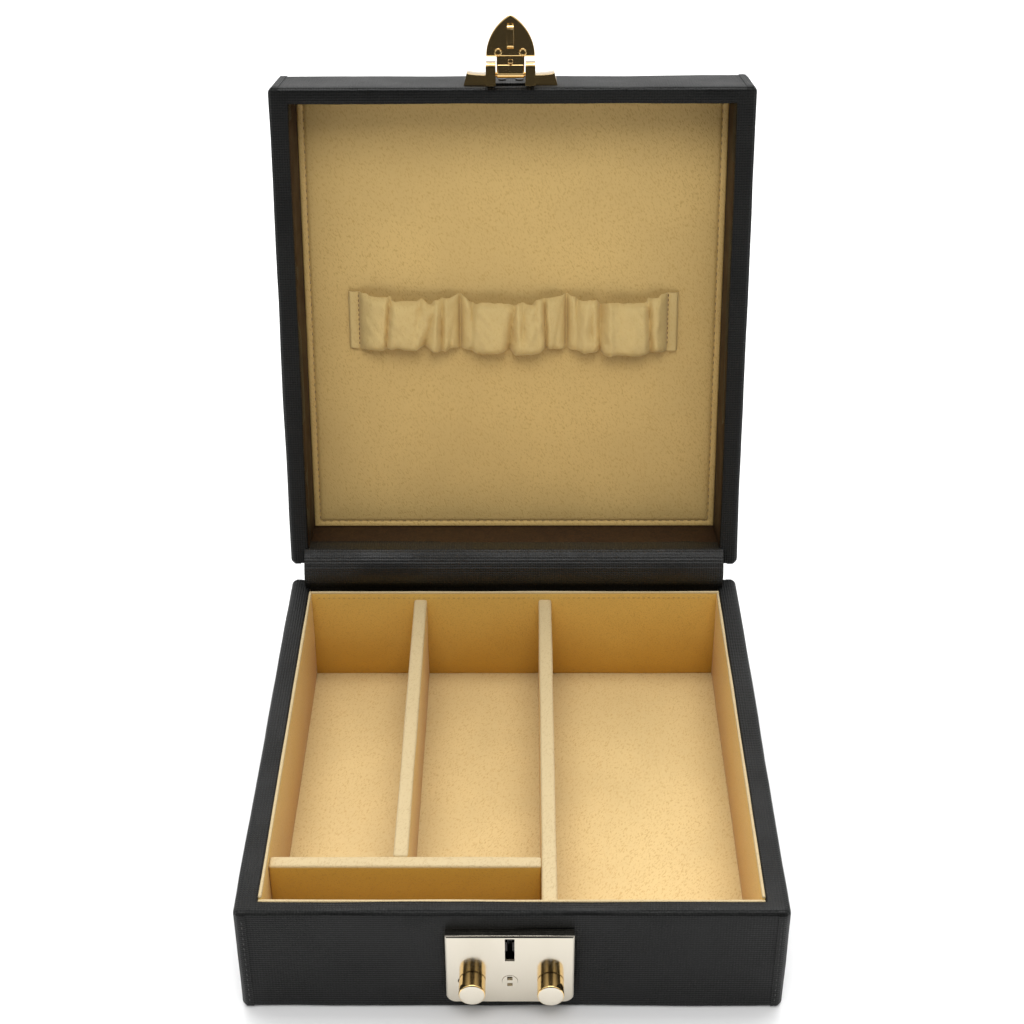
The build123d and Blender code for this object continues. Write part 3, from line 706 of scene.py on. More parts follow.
# %% [markdown]
# ## The window behind the lock
# The lock's mechanism sits in a pocket behind the case, so the front skin has a window there, hidden
# by the case. Its borders are those of the plate at the back of the pocket. A boolean could cut it, but
# four plane cuts and a bridge between the two loops leave a cleaner mesh.

# %% The window behind the lock
pocket_low, pocket_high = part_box("lock_back_plate")
front_cover = bpy.data.objects["base_front_cover"]
window = bmesh.new()
window.from_mesh(front_cover.data)
for axis in (0, 2):
    cut(window, axis, pocket_low[axis])
    cut(window, axis, pocket_high[axis])


def behind_lock(spot):
    across_and_up = all(pocket_low[axis] < spot[axis] < pocket_high[axis] for axis in (0, 2))
    return across_and_up and spot.y < base_low.y + 2 * skin


in_window = [face for face in window.faces if behind_lock(face.calc_center_median())]
bmesh.ops.delete(window, geom=in_window, context="FACES")
rims = [edge for edge in window.edges if edge.is_boundary]
bmesh.ops.bridge_loops(window, edges=rims)
bmesh.ops.recalc_face_normals(window, faces=window.faces)
window.to_mesh(front_cover.data)
window.free()
print("window cut,", len(in_window), "faces gone")

# %% [markdown]
# ## Boards and other pieces that keep their shape
# The boards, the rivets, the springs and the catches sit inside, and the imported shapes are right as
# they are. They only need their finish. Each spring also gets a mesh of its own.

# %% Finish the inner pieces
for name, node in frame["nodes"].items():
    if name.endswith("_board"):
        finish = board
    elif name.startswith(("lock_back", "lock_rivets", "lock_spring")):
        finish = plain_steel
    # The catches and the bracket's rivets get the near-black steel, as painted shade.
    elif name.startswith(("catch", "bracket_rivets")):
        finish = shade_steel
    else:
        continue
    node.data.materials.clear()
    node.data.materials.append(finish)
for side, out in (("left", -1.0), ("right", 1.0)):
    low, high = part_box("lock_spring_" + side)
    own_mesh(frame["nodes"]["lock_spring_" + side])
print("inner pieces finished")

# %% [markdown]
# ## Tray lining
# The liners and dividers are cards wrapped in skin: their top edges are soft folds, and their faces are
# slightly padded. Each is a block with rounded edges, cut into cells and rippled a little.

# %% Liners, dividers and floor


def lined_card(name, radius, cell, depth, seed):
    low, high = (Vector(corner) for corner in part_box(name))
    material = tray_lining
    if high.z > 10 * MM:
        tones = cross_shade_tones if name == "divider_cross" else wall_tones
        material = make_card_lining(name + "_skin", high.z, *tones)
    bm = block_bm(low, high)
    round_edges(bm, bm.edges[:], radius, 3)
    cut_grid(bm, cell)
    ripple(bm, depth, 24.0 * MM, seed)
    return finish_piece(name + "_lining", bm, material, "base", (name,))


cards = {
    "liner_front": (0.4, (5, 0, 5)), "liner_back": (0.5, (5, 0, 5)),
    "liner_left": (0.5, (0, 5, 5)), "liner_right": (0.5, (0, 5, 5)),
    "divider_left": (0.9, (0, 5, 5)), "divider_right": (0.9, (0, 5, 5)),
    "divider_cross": (0.9, (5, 0, 5)), "floor_card": (0.25, (6, 6, 0)),
}
for seed, (name, (radius, cell)) in enumerate(cards.items()):
    lined_card(name, radius * MM, [step * MM for step in cell], 0.16 * MM, seed)
print(len(cards), "lined cards")

# %% [markdown]
# ## Stitches
# A stitch is a short thread that dips into the skin at both ends, so a stretched ball with few faces is
# enough. A row is one mesh: the same ball, again and again along a line, each turned a little.

# %% Stitch rows


def stitch_row(name, start, end, pitch, length, thickness, up, material, body, turn=None):
    """Stitches from start to end, lying on a face whose outward direction is up."""
    start, end, up = Vector(start), Vector(end), Vector(up)
    along = (end - start).normalized()
    side = up.cross(along)
    count = max(2, round((end - start).length / pitch))
    bm = bmesh.new()
    for index in range(count):
        spot = start.lerp(end, (index + 0.5) / count)
        spin = Matrix((along, side, up)).transposed().to_4x4()
        wobble = Matrix.Rotation(0.12 * noise.noise(spot * 900), 4, "Z")
        size = Matrix.Diagonal((length / 2, thickness / 2, thickness / 2, 1))
        bmesh.ops.create_uvsphere(bm, u_segments=6, v_segments=4, radius=1.0,
                                  matrix=Matrix.Translation(spot) @ spin @ wobble @ size
                                  @ Matrix.Rotation(math.pi / 2, 4, "Y"))
    return finish_piece(name, bm, material, body, (), turn, 80.0)


rim_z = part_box("liner_back")[1][2]
liner_back_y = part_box("liner_back")[0][1]
stitch_row("stitches_liner_back", (tray_low[0] + 3 * MM, liner_back_y, rim_z - 2.8 * MM),
           (tray_high[0] - 3 * MM, liner_back_y, rim_z - 2.8 * MM), 2.0 * MM, 1.15 * MM, 0.3 * MM,
           (0, -1, 0), beige_thread, "base")
for half, low, high, turn in (("base", base_low, base_high, None), ("lid", lid_low, lid_high, lid_open)):
    for end_name, y, out in (("front", low.y, -1), ("back", high.y, 1)):
        for side_name, x in (("left", -lap_stitched), ("right", lap_stitched)):
            face_y = y + out * (lap_lift + 0.02 * MM)
            stitch_row(f"stitches_{half}_{end_name}_{side_name}", (x, face_y, low.z + 3 * MM),
                       (x, face_y, high.z - 3 * MM), 2.4 * MM, 1.3 * MM, 0.32 * MM, (0, out, 0),
                       dark_thread, half, turn)
print("stitches sewn")

# %% [markdown]
# ## The lid's brown strips
# Four strips of brown card line the lid's walls. Each is a block with rounded edges, rippled a little.
# A strip is cut into cells only along its wide faces, because its thickness doesn't bend.

# %% Brown strips
for side in ("left", "right", "front", "back"):
    low, high = shut_box("lid_lining_" + side)
    bm = block_bm(low, high)
    round_edges(bm, bm.edges[:], 0.25 * MM, 2)
    cut_grid(bm, [0 if high[axis] - low[axis] < 2 * MM else 6 * MM for axis in range(3)])
    ripple(bm, 0.12 * MM, 20 * MM, 3.0)
    finish_piece(f"lid_{side}_lining", bm, brown_lining, "lid",
                 ("lid_lining_" + side,), lid_open)
print("lid walls lined")

# %% [markdown]
# ## The padded panel
# Between the strips lies a thin pad in pale skin. It is sewn round its border, so the skin dips along
# the stitches and swells on both sides of them. A cloth simulation could give this, but the pad is
# thin and even, so one height for each distance from the edge is enough, with some drift. The grid is
# finer near the border, where the height changes fast.

# %% Padded panel
sewn_in = 2.5 * MM
pad_cell = 1.5 * MM


def panel_height(edge, x, y):
    """How far the skin stands off the card, by the distance to the nearest edge."""
    rolled = -0.6 * MM * max(0.0, 1 - edge / (0.5 * MM)) ** 2
    channel = -0.5 * MM * math.exp(-((edge - sewn_in) / (0.45 * MM)) ** 2)
    crown = 0.75 * MM * (1 - math.exp(-max(0.0, edge - sewn_in) / (9 * MM)))
    drift = 0.22 * MM * noise.noise(Vector((x, y, 0.0)) / (35 * MM))
    pucker = 0.07 * MM * math.cos(2 * math.pi * (x + y) / (3 * MM)) * math.exp(
        -abs(edge - sewn_in) / (1.6 * MM))
    return rolled + channel + crown + min(1.0, edge / (8 * MM)) * drift + pucker


panel_bm = bmesh.new()
bmesh.ops.create_grid(panel_bm, x_segments=1, y_segments=1, size=0.5)
bmesh.ops.scale(panel_bm, vec=(*(panel_high - panel_low).xy, 1), verts=panel_bm.verts)
bmesh.ops.translate(panel_bm, vec=(0, (panel_low.y + panel_high.y) / 2, 0), verts=panel_bm.verts)
panel_spans = ((0, panel_low.x, panel_high.x), (1, panel_low.y, panel_high.y))
for inset in (0.3, 0.6, 1.0, 1.5, 2.0, 2.5, 3.0, 3.6, 4.4, 5.4, 6.8):
    for axis, low, high in panel_spans:
        cut(panel_bm, axis, low + inset * MM)
        cut(panel_bm, axis, high - inset * MM)
for axis, low, high in panel_spans:
    count = round((high - low) / pad_cell)
    for index in range(5, count - 4):
        cut(panel_bm, axis, low + (high - low) * index / count)
for vertex in panel_bm.verts:
    x, y = vertex.co.x, vertex.co.y
    edge = min(x - panel_low.x, panel_high.x - x, y - panel_low.y, panel_high.y - y)
    vertex.co.z = panel_low.z - panel_height(edge, x, y)
bmesh.ops.recalc_face_normals(panel_bm, faces=panel_bm.faces)
if panel_bm.faces[0].normal.z > 0:
    bmesh.ops.reverse_faces(panel_bm, faces=panel_bm.faces[:])
bmesh.ops.solidify(panel_bm, geom=panel_bm.faces[:], thickness=1.0 * MM)
panel = finish_piece("lid_pad", panel_bm, pad_lining, "lid", ("lid_panel",), lid_open, 60)
print("pad:", len(panel.data.polygons), "faces")

# %% [markdown]
# ## Stitches round the pad
# One row of beige stitches runs along each side of the pad, down in the sewn channel. They are real
# threads, and not a bump in the finish, because they catch the light from the side.

# %% Stitches round the pad
sewn_left, sewn_right = panel_low.x + sewn_in, panel_high.x - sewn_in
sewn_front, sewn_back = panel_low.y + sewn_in, panel_high.y - sewn_in
stitch_z = panel_low.z + 0.22 * MM
for name, start, end in (
        ("front", (sewn_left, sewn_front), (sewn_right, sewn_front)),
        ("back", (sewn_left, sewn_back), (sewn_right, sewn_back)),
        ("left", (sewn_left, sewn_front), (sewn_left, sewn_back)),
        ("right", (sewn_right, sewn_front), (sewn_right, sewn_back))):
    stitch_row("stitches_pad_" + name, (*start, stitch_z), (*end, stitch_z), 3.0 * MM, 1.5 * MM,
               0.36 * MM, (0, 0, -1), beige_thread, "lid", lid_open)
print("pad sewn")

# %% [markdown]
# ## The jewellery band
# The band is one strip of pale skin, gathered on an elastic and sewn to the pad along four lines, so
# that it stands off in three loops for chains and rings. Gathered skin isn't regular: it has big soft
# puffs, a few sharp creases and small pleats near the seams. A simulated strip would fold where it
# likes, so a smooth arch lifts each loop, and a list of folds presses creases in and pulls ridges out.
# Two more lists say how far the gathered edges slide up the lid.

# %% The band's folds
band_low, band_high = shut_box("jewel_band")
band_half = (band_high.y - band_low.y) / 2
band_end = band_high.x
band_rise = band_high.z - band_low.z - 1.0 * MM
seams = [place * MM for place in (-61.2, -21.0, 21.0, 61.2)]
loop_squareness = 4.2
# place at the upper and at the lower edge, depth (a ridge is negative), width, and the strength at the
# upper edge, the middle and the lower edge; millimetres
folds = [
    (-48.4, -50.4, 2.6, 1.2, 1.0, 0.8, 0.9), (-46.4, -47.6, -0.7, 1.6, 1.0, 0.7, 0.5),
    (-42.0, -41.0, -0.8, 5.0, 0.6, 1.0, 0.7), (-36.2, -39.4, 1.8, 1.6, 1.0, 0.25, 0.0),
    (-34.4, -33.0, -0.8, 1.4, 1.0, 0.4, 0.0), (-30.6, -35.2, 3.0, 2.2, 0.0, 0.7, 1.1),
    (-30.2, -31.2, -1.0, 1.5, 0.8, 1.0, 1.0), (-28.0, -28.6, 2.2, 1.4, 0.7, 1.0, 0.8),
    (-26.2, -26.4, -0.7, 1.2, 0.9, 0.8, 0.5), (-21.5, -25.6, 1.3, 1.0, 0.0, 0.2, 1.1),
    (-16.0, -16.6, 2.2, 1.3, 1.0, 0.4, 0.3), (-13.6, -14.4, -0.8, 2.2, 1.0, 0.4, 0.2),
    (-8.0, -9.0, -0.8, 5.0, 0.7, 1.0, 0.8), (0.4, -1.8, 3.4, 2.4, 0.25, 0.9, 1.2),
    (1.6, 2.6, -1.0, 1.2, 1.2, 0.9, 0.3), (4.2, 3.4, 1.5, 2.0, 1.0, 0.8, 0.1),
    (7.6, 6.6, -0.7, 2.2, 0.0, 0.7, 1.1), (8.4, 10.4, 1.2, 1.2, 1.0, 0.4, 0.0),
    (12.2, 12.9, 2.7, 1.2, 0.8, 1.0, 1.1), (19.6, 16.2, 1.0, 1.0, 0.0, 0.5, 1.0),
    (25.2, 25.0, 2.0, 1.2, 1.0, 0.4, 0.3), (28.6, 28.0, -0.9, 1.6, 1.0, 1.0, 0.6),
    (30.6, 31.2, 1.0, 1.3, 0.4, 1.0, 0.7), (34.6, 34.2, 3.3, 2.2, 1.0, 0.75, 1.0),
    (38.0, 38.6, -1.2, 1.5, 1.1, 1.0, 0.5), (41.6, 42.6, 0.7, 1.5, 0.8, 0.4, 0.0),
    (46.5, 46.0, -0.7, 4.5, 0.6, 1.0, 0.9), (53.2, 54.4, 2.6, 1.4, 1.0, 1.0, 1.0),
    (57.2, 57.0, -0.5, 1.0, 1.0, 0.8, 0.8),
]
# how far the gathered edges slide up the lid, at places across it; millimetres
upper_edge = [
    (-57.4, 1.2), (-56.8, 0.1), (-48.3, -0.1), (-47.5, -1.7), (-37.0, -1.5), (-35.6, -1.1),
    (-32.8, -3.0), (-30.2, -1.1), (-24.0, -0.5), (-21.4, 0.5), (-19.4, -0.4), (-16.1, -3.0),
    (-12.0, -2.2), (-3.0, -2.6), (0.6, -3.8), (2.2, -2.6), (7.5, -3.3), (9.0, -1.5), (12.3, -0.9),
    (18.0, -0.2), (20.7, 0.3), (24.3, -0.4), (25.3, -1.8), (32.8, -1.5), (34.6, -4.0), (36.2, -2.9),
    (38.2, -2.1), (41.0, -2.6), (52.2, -2.6), (53.4, -1.0), (57.2, -0.8), (58.0, 0.5),
]
lower_edge = [
    (-57.4, 0.2), (-50.4, 0.1), (-49.0, 0.4), (-46.0, 1.0), (-40.0, 0.2), (-35.4, 1.1), (-31.0, -0.8),
    (-27.0, -0.6), (-24.4, 0.8), (-21.0, 0.2), (-16.6, -0.2), (-14.6, -1.2), (-5.0, -1.3),
    (-1.6, -0.7), (0.4, -1.9), (5.8, -1.8), (9.8, -1.2), (12.8, 0.3), (20.8, 0.2), (25.0, -0.2),
    (28.6, -1.4), (33.0, -1.2), (34.2, -0.4), (36.2, -2.5), (44.0, -1.8), (50.2, -2.5),
    (54.2, -1.5), (56.4, -0.7), (59.0, -1.2),
]


def loop_share(x):
    """0 on the seams and hems, 1 over the middle of a loop."""
    for start, end in zip(seams, seams[1:]):
        if start < x < end:
            across = abs(2 * (x - start) / (end - start) - 1)
            return (1 - across ** loop_squareness) ** 0.5
    return 0.0


def along_edge(spots, x):
    """The height of an edge at a place: straight between its spots, with soft corners."""
    x = x / MM
    if x <= spots[0][0]:
        return spots[0][1] * MM
    for (start, low), (end, high) in zip(spots, spots[1:]):
        if x < end:
            share = (x - start) / (end - start)
            share = share * share * (3 - 2 * share)
            return (low + (high - low) * share) * MM
    return spots[-1][1] * MM


def band_stand_off(x, up):
    """How far the gathered skin stands off the pad, at a place across and up the lid."""
    share = loop_share(x)
    level = max(-1.0, min(1.0, up / band_half))
    rolled = 2.8 * MM * abs(level) ** 9 + 0.4 * MM * max(0.0, level) ** 2
    stand = share * (band_rise - rolled)
    for upper_x, lower_x, depth, width, upper, middle, lower in folds:
        far = upper if level > 0 else lower
        strength = middle + (far - middle) * abs(level) ** 1.3
        centre = lower_x + (upper_x - lower_x) * (level + 1) / 2
        away = abs(x / MM - centre) / (width * (0.55 + 0.45 * min(1.0, strength)))
        if depth > 0 and away < 1.6:
            stand -= 1.3 * depth * MM * strength * share ** 0.5 * (1 - away / 1.6) ** 1.8
        elif depth < 0 and away < 3:
            stand -= depth * MM * strength * share ** 0.5 * math.exp(-away * away)
    wrinkles = noise.noise(Vector(((x + 0.4 * up) / (2.6 * MM), up / (5 * MM), 3.0)))
    soft = noise.noise(Vector(((x - 0.5 * up) / (6 * MM), up / (8 * MM), 4.0)))
    cross = noise.noise(Vector((x / (5 * MM), up / (1.3 * MM), 8.0)))
    return stand + share * MM * (0.42 * wrinkles + 0.8 * soft + 0.1 * cross)


def band_shift(x, up):
    """How far a point slides up or down the lid: gathered edges aren't straight."""
    share = loop_share(x)
    level = up / band_half
    mixed = (level + 1) / 2
    slide = along_edge(upper_edge, x) * mixed + along_edge(lower_edge, x) * (1 - mixed)
    uneven = 0.45 * MM * noise.noise(Vector((x / (2.2 * MM), 0.0, 5.0 if level > 0 else 7.0)))
    return slide + uneven * abs(level) ** 2 * share


print(len(folds), "folds in", len(seams) - 1, "loops")

# %% [markdown]
# ## Gathering the strip
# The strip is a flat grid with fine columns. Each point is lifted off the pad and slid along the lid,
# is drawn down at the seams, and ends in a flat hem. A light smoothing takes the hardness out of the
# folds, and then the skin gets its thickness. The area before that tells how long the strip was.

# %% Gather the band
rest_gap = 0.75 * MM
band_skin = 0.55 * MM
column = 0.42 * MM
hem_from = 4.0 * MM
hem_stand, hem_drop = 1.7 * MM, 1.5 * MM
bm = bmesh.new()
bmesh.ops.create_grid(bm, x_segments=round(2 * band_end / column), y_segments=44, size=0.5)
flat_layer = bm.loops.layers.uv.new("flat")
for face in bm.faces:
    for loop in face.loops:
        loop[flat_layer].uv = ((loop.vert.co.x + 0.5) * 0.19, (loop.vert.co.y + 0.5) * 0.022)
for vertex in bm.verts:
    x, up = vertex.co.x * 2 * band_end, -vertex.co.y * 2 * band_half
    near_seam = min(abs(x - seam) for seam in seams)
    pulled = 0.55 * MM * math.exp(-(near_seam / (0.45 * MM)) ** 2)
    past_seam = abs(x) - seams[-1] + hem_from
    to_end = max(0.0, 1 - (band_end - abs(x)) / (0.9 * MM))
    hem = (hem_stand - hem_drop * to_end ** 2) if past_seam > 0 else 0.0
    stand = rest_gap + max(hem, band_stand_off(x, up)) - pulled
    vertex.co = Vector((x, -(up + band_shift(x, up)), panel_low.z - stand))
bmesh.ops.smooth_vert(bm, verts=bm.verts, factor=0.25, use_axis_x=True, use_axis_y=True,
                      use_axis_z=True)
bm.normal_update()
if sum(face.normal.z for face in bm.faces) > 0:
    bmesh.ops.reverse_faces(bm, faces=bm.faces[:])
band_area = sum(face.calc_area() for face in bm.faces)
bmesh.ops.solidify(bm, geom=bm.faces[:], thickness=band_skin)
band = finish_piece("gathered_band", bm, band_lining, "lid", ("jewel_band",), lid_open, 70)

# %% [markdown]
# ## The band's seams
# The thread of the seams is redder than the lining. The two inner seams hold the skin down on the pad.
# The two outer ones run over the flat hems, so they stand higher.

# %% Stitches on the band's seams
inner_stand, outer_stand = 0.28 * MM, 2.0 * MM
for index, seam in enumerate(seams):
    thread_z = panel_low.z - (outer_stand if index in (0, len(seams) - 1) else inner_stand)
    stitch_row(f"stitches_band_{index + 1}", (seam, -band_half - 0.3 * MM, thread_z),
               (seam, band_half - 1.2 * MM, thread_z), 1.9 * MM, 1.3 * MM, 0.4 * MM, (0, 0, -1),
               seam_thread, "lid", lid_open)
print("band sewn")

# %% [markdown]
# ## The leather hinge
# Two strips of the cover's skin join lid and base: one lies inside, over both rims, and one runs over
# the back. Between the rims each strip is part of a circle about the hinge's axis. A point of that arc
# is as far along the lid's turn as its angle says, so its weight is that share of the turn, and the
# strips close up cleanly when the lid shuts.

# %% Hinge strips


def hinge_leather(name, node, wall_y, radius, start_angle, low_z, lid_z, half_width, seed):
    """A strip up the wall, round the hinge and along the lid, with a turning share per point."""
    bm = bmesh.new()
    columns = 48
    bmesh.ops.create_grid(bm, x_segments=columns, y_segments=1, size=0.5)
    bmesh.ops.delete(bm, geom=[vertex for vertex in bm.verts if vertex.co.y > 0], context="VERTS")
    leave = Vector((0, hinge.y + radius * math.cos(start_angle), hinge.z + radius * math.sin(start_angle)))
    for vertex in bm.verts:
        vertex.co = Vector((vertex.co.x * 2 * half_width, wall_y, low_z))
    share = bm.verts.layers.float.new("share")
    rows = 5
    front = bm.edges[:]

    def grow(edges, move):
        made = bmesh.ops.extrude_edge_only(bm, edges=edges)
        verts = [item for item in made["geom"] if isinstance(item, bmesh.types.BMVert)]
        bmesh.ops.translate(bm, vec=move, verts=verts)
        return [item for item in made["geom"] if isinstance(item, bmesh.types.BMEdge)
                and all(vertex in verts for vertex in item.verts)], verts

    for _ in range(rows):
        front, verts = grow(front, Vector((0, 0, (leave.z - low_z) / rows)))
    steps = 36
    for step in range(1, steps + 1):
        front, verts = grow(front, Vector())
        bmesh.ops.rotate(bm, cent=hinge, matrix=Matrix.Rotation(-lid_angle / steps, 3, "X"), verts=verts)
        for vertex in verts:
            vertex[share] = step / steps
    along = Vector((0, 0, lid_z - leave.z))
    along.rotate(Matrix.Rotation(-lid_angle, 3, "X"))
    for _ in range(rows):
        front, verts = grow(front, along / rows)
        for vertex in verts:
            vertex[share] = 1.0
    bmesh.ops.recalc_face_normals(bm, faces=bm.faces)
    ripple(bm, 0.12 * MM, 26 * MM, seed)
    bmesh.ops.solidify(bm, geom=bm.faces[:], thickness=0.8 * MM)
    shares = [vertex[share] for vertex in bm.verts]
    strip = finish_piece(name, bm, hinge_skin, None, (node,), None, 50)
    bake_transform(strip, "base", "lid", start=(0, hinge.y, hinge.z - radius), end=(0, hinge.y, hinge.z + radius))
    weights = strip.data.attributes["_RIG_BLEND"].data
    for weight, value in zip(weights, shares):
        weight.value = value
    print(name, "turning shares", sorted({round(value, 2) for value in shares})[:4], "...",
          sum(value == 0 for value in shares), "points on the base,",
          sum(value == 1 for value in shares), "on the lid")
    return strip


# how far up the shut lid's back the two strips end, above the floor
strip_top, spine_top = 50.6 * MM, 53.6 * MM
strip_low, strip_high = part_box("hinge_strip")
strip_radius = 10.25 * MM
strip_wall = groove_back - 0.4 * MM
strip_start = math.pi + math.acos((hinge.y - strip_wall) / strip_radius)
inner_strip = hinge_leather("inner_hinge_leather", "hinge_strip", strip_wall, strip_radius, strip_start,
                            strip_low[2], strip_top, strip_high[0], 2.0)
spine_radius = 1.66 * MM
spine_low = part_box("hinge_spine")[0][2]
outer_strip = hinge_leather("outer_hinge_leather", "hinge_spine", hinge.y - spine_radius, spine_radius,
                            math.pi, spine_low, spine_top, strip_high[0], 4.0)
print("hinge strips:", len(inner_strip.data.vertices), "and", len(outer_strip.data.vertices), "points")

# %% [markdown]
# ## Lock plate, bracket, pin and key
# Polished metal is read by its edges: a bright line runs along every rounded corner. The imported metal
# pieces have the right outlines but knife-sharp edges. A copy of each is merged, its flat faces are
# joined, and its sharp edges get a small round, with a wider one along the lock plate's top. The
# bracket's wings dip less than the imported ones, and its faces between the ears, which lie in shade,
# get the lid's dark leather as painted shade.

# %% Break the edges of metal pieces
widest_clamped = 0.9 * MM


def softened(node_name, piece_name, rounds, material, body, turn=Matrix(), bm=None):
    """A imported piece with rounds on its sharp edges: (radius, segments, choice of spots), in turn."""
    if bm is None:
        bm = node_bm(node_name)
    back = turn.inverted()
    bmesh.ops.dissolve_limit(bm, angle_limit=math.radians(0.5), use_dissolve_boundaries=False,
                             verts=bm.verts, edges=bm.edges)
    for radius, segments, chosen in rounds:
        sharp = [edge for edge in bm.edges if len(edge.link_faces) == 2
                 and edge.calc_face_angle(0) > math.radians(35)
                 and all(chosen(back @ vertex.co) for vertex in edge.verts)]
        bmesh.ops.bevel(bm, geom=sharp, offset=radius, offset_type="OFFSET", affect="EDGES",
                        segments=segments, profile=0.5, material=-1, clamp_overlap=radius < widest_clamped)
    return finish_piece(piece_name, bm, material, body, (node_name,), None, 28, turn.to_3x3())


def everywhere(spot):
    return True


case_low, case_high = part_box("lock_case")
hasp_pin = lid_open.inverted() @ hasp_pin_place
hasp_middle = (case_low[0] + case_high[0]) / 2
softened("lock_case", "lock_plate",
         [(0.95 * MM, 2, lambda spot: spot.z > case_high[2] - 1e-5 and spot.y < case_low[1] + 1e-5),
          (0.16 * MM, 2, everywhere)], plate_metal, "base")
saddle = node_bm("hasp_bracket")
bmesh.ops.transform(saddle, matrix=lid_open.inverted(), verts=saddle.verts)
ear_foot = shut_box("hasp_bracket")[0].z + 3.5 * MM
ear_stand = 0.6 * MM
wing_from, wing_to, wing_lift = 9.2, 15.8, 0.6 * MM
for vertex in saddle.verts:
    out = lid_low.y - vertex.co.y
    across = abs(vertex.co.x - hasp_middle) / MM
    if vertex.co.z < ear_foot and out < 2.2 * MM:
        vertex.co.y = lid_low.y - ear_stand
    elif wing_from < across < wing_to and out > 2.5 * MM:
        vertex.co.y -= wing_lift * math.sin(math.pi * (across - wing_from) / (wing_to - wing_from))
bmesh.ops.transform(saddle, matrix=lid_open, verts=saddle.verts)
saddle_piece = softened("hasp_bracket", "hasp_saddle", [(0.3 * MM, 3, everywhere)], gilt_metal, "lid",
                        lid_open, saddle)
# Painted shade: the bracket's faces between and under its ears, which lie in shade, get the lid's dark leather.
saddle_piece.data.materials.append(lid_cover_leather)
between_ears, under_ears = 5.6 * MM, 1.2 * MM
for face in saddle_piece.data.polygons:
    spot = lid_open.inverted() @ face.center
    if abs(spot.x - hasp_middle) < between_ears and spot.y > lid_low.y - under_ears:
        face.material_index = 1
softened("hasp_pin", "hasp_axle", [(0.15 * MM, 2, everywhere)], gilt_metal, "lid")
softened("key_plug", "key_barrel", [(0.12 * MM, 2, everywhere)], plate_metal, "key")
print("metal edges broken")

# %% [markdown]
# ## The hasp
# The hasp's plate is a pointed arch, whose two sides are arcs that meet at the tip. A block is cut into
# thin rows, and each row gets the half width that the arc has there. Above it, a neck, a flat drum and
# a knuckle hang on the pin, and are small blocks and a spun ring. The hook on its back is the packed
# tooth with a groove down its middle, and two spun eyelets hold it, as tubular rivets do.

# %% The hasp
shoulder, tip = 6.4 * MM, 21.2 * MM
arc_radius, arc_offset = 17.06 * MM, 8.11 * MM
half_thick = 0.6 * MM
arch = block_bm((-1, hasp_pin.y - half_thick, hasp_pin.z - tip),
                (1, hasp_pin.y + half_thick, hasp_pin.z - shoulder))
cut_grid(arch, (0, 0, 0.6 * MM))
for vertex in arch.verts:
    down = hasp_pin.z - shoulder - vertex.co.z
    half_width = math.sqrt(arc_radius ** 2 - down ** 2) - arc_offset
    vertex.co.x = hasp_middle + vertex.co.x * max(half_width, 0.12 * MM)
bmesh.ops.transform(arch, matrix=hasp_open, verts=arch.verts)
softened("hasp_plate", "hasp_arch", [(0.5 * MM, 4, everywhere)], gilt_metal, "hasp",
         hasp_open, arch)


def hasp_block(name, across, out_from, out_to, down_from, down_to, radius):
    """A block of the hasp, by its half width and its places from the pin."""
    low = Vector((hasp_middle - across, hasp_pin.y + out_from, hasp_pin.z - down_to))
    high = Vector((hasp_middle + across, hasp_pin.y + out_to, hasp_pin.z - down_from))
    bm = block_bm(low, high)
    round_edges(bm, bm.edges[:], radius, 3)
    return finish_piece(name, bm, gilt_metal, "hasp", (), hasp_open, 28,
                        hasp_open.to_3x3())


neck_from, neck_to = 0.95 * MM, 6.6 * MM
hasp_block("hasp_neck", 5.1 * MM, -half_thick, 0.9 * half_thick, neck_from, neck_to, 0.15 * MM)
hasp_block("hasp_drum", 4.9 * MM, 0.2 * MM, 1.5 * MM, 0.1 * MM, 3.6 * MM, 0.3 * MM)
hasp_block("hasp_mark", 0.95 * MM, 0.2 * MM, 0.85 * MM, 4.0 * MM, 5.4 * MM, 0.22 * MM)
tooth_face = shut_box("hasp_tooth", hasp_open)[1].y - 1e-5
groove_depth = 0.4 * MM
hook = node_bm("hasp_tooth")
bmesh.ops.transform(hook, matrix=hasp_open.inverted(), verts=hook.verts)
cut(hook, 0, hasp_middle)
for vertex in hook.verts:
    if abs(vertex.co.x - hasp_middle) < 1e-6 and vertex.co.y > tooth_face:
        vertex.co.y -= groove_depth
bmesh.ops.transform(hook, matrix=hasp_open, verts=hook.verts)
softened("hasp_tooth", "hasp_hook", [(0.24 * MM, 3, everywhere)], gilt_metal, "hasp",
         hasp_open, hook)


def spun(profile, centre, axis):
    """A profile of (radius, distance along the axis) spun round it; an end on the axis closes it."""
    bm = bmesh.new()
    away = Vector((1, 0, 0)) if axis.x == 0 else Vector((0, 0, 1))
    verts = [bm.verts.new(centre + away * radius + axis * far) for radius, far in profile]
    edges = [bm.edges.new(pair) for pair in zip(verts, verts[1:])]
    if profile[0] == profile[-1]:
        bmesh.ops.remove_doubles(bm, verts=bm.verts, dist=1e-7)
    bmesh.ops.spin(bm, geom=bm.verts[:] + bm.edges[:], cent=centre, axis=axis, dvec=(0, 0, 0),
                   angle=2 * math.pi, steps=40, use_merge=True)
    bmesh.ops.remove_doubles(bm, verts=bm.verts, dist=1e-7)
    bmesh.ops.recalc_face_normals(bm, faces=bm.faces)
    return bm


def joined(parts):
    """Several bmeshes as one."""
    whole = bmesh.new()
    for part in parts:
        carrier = bpy.data.meshes.new("carrier")
        part.to_mesh(carrier)
        part.free()
        whole.from_mesh(carrier)
        bpy.data.meshes.remove(carrier)
    return whole


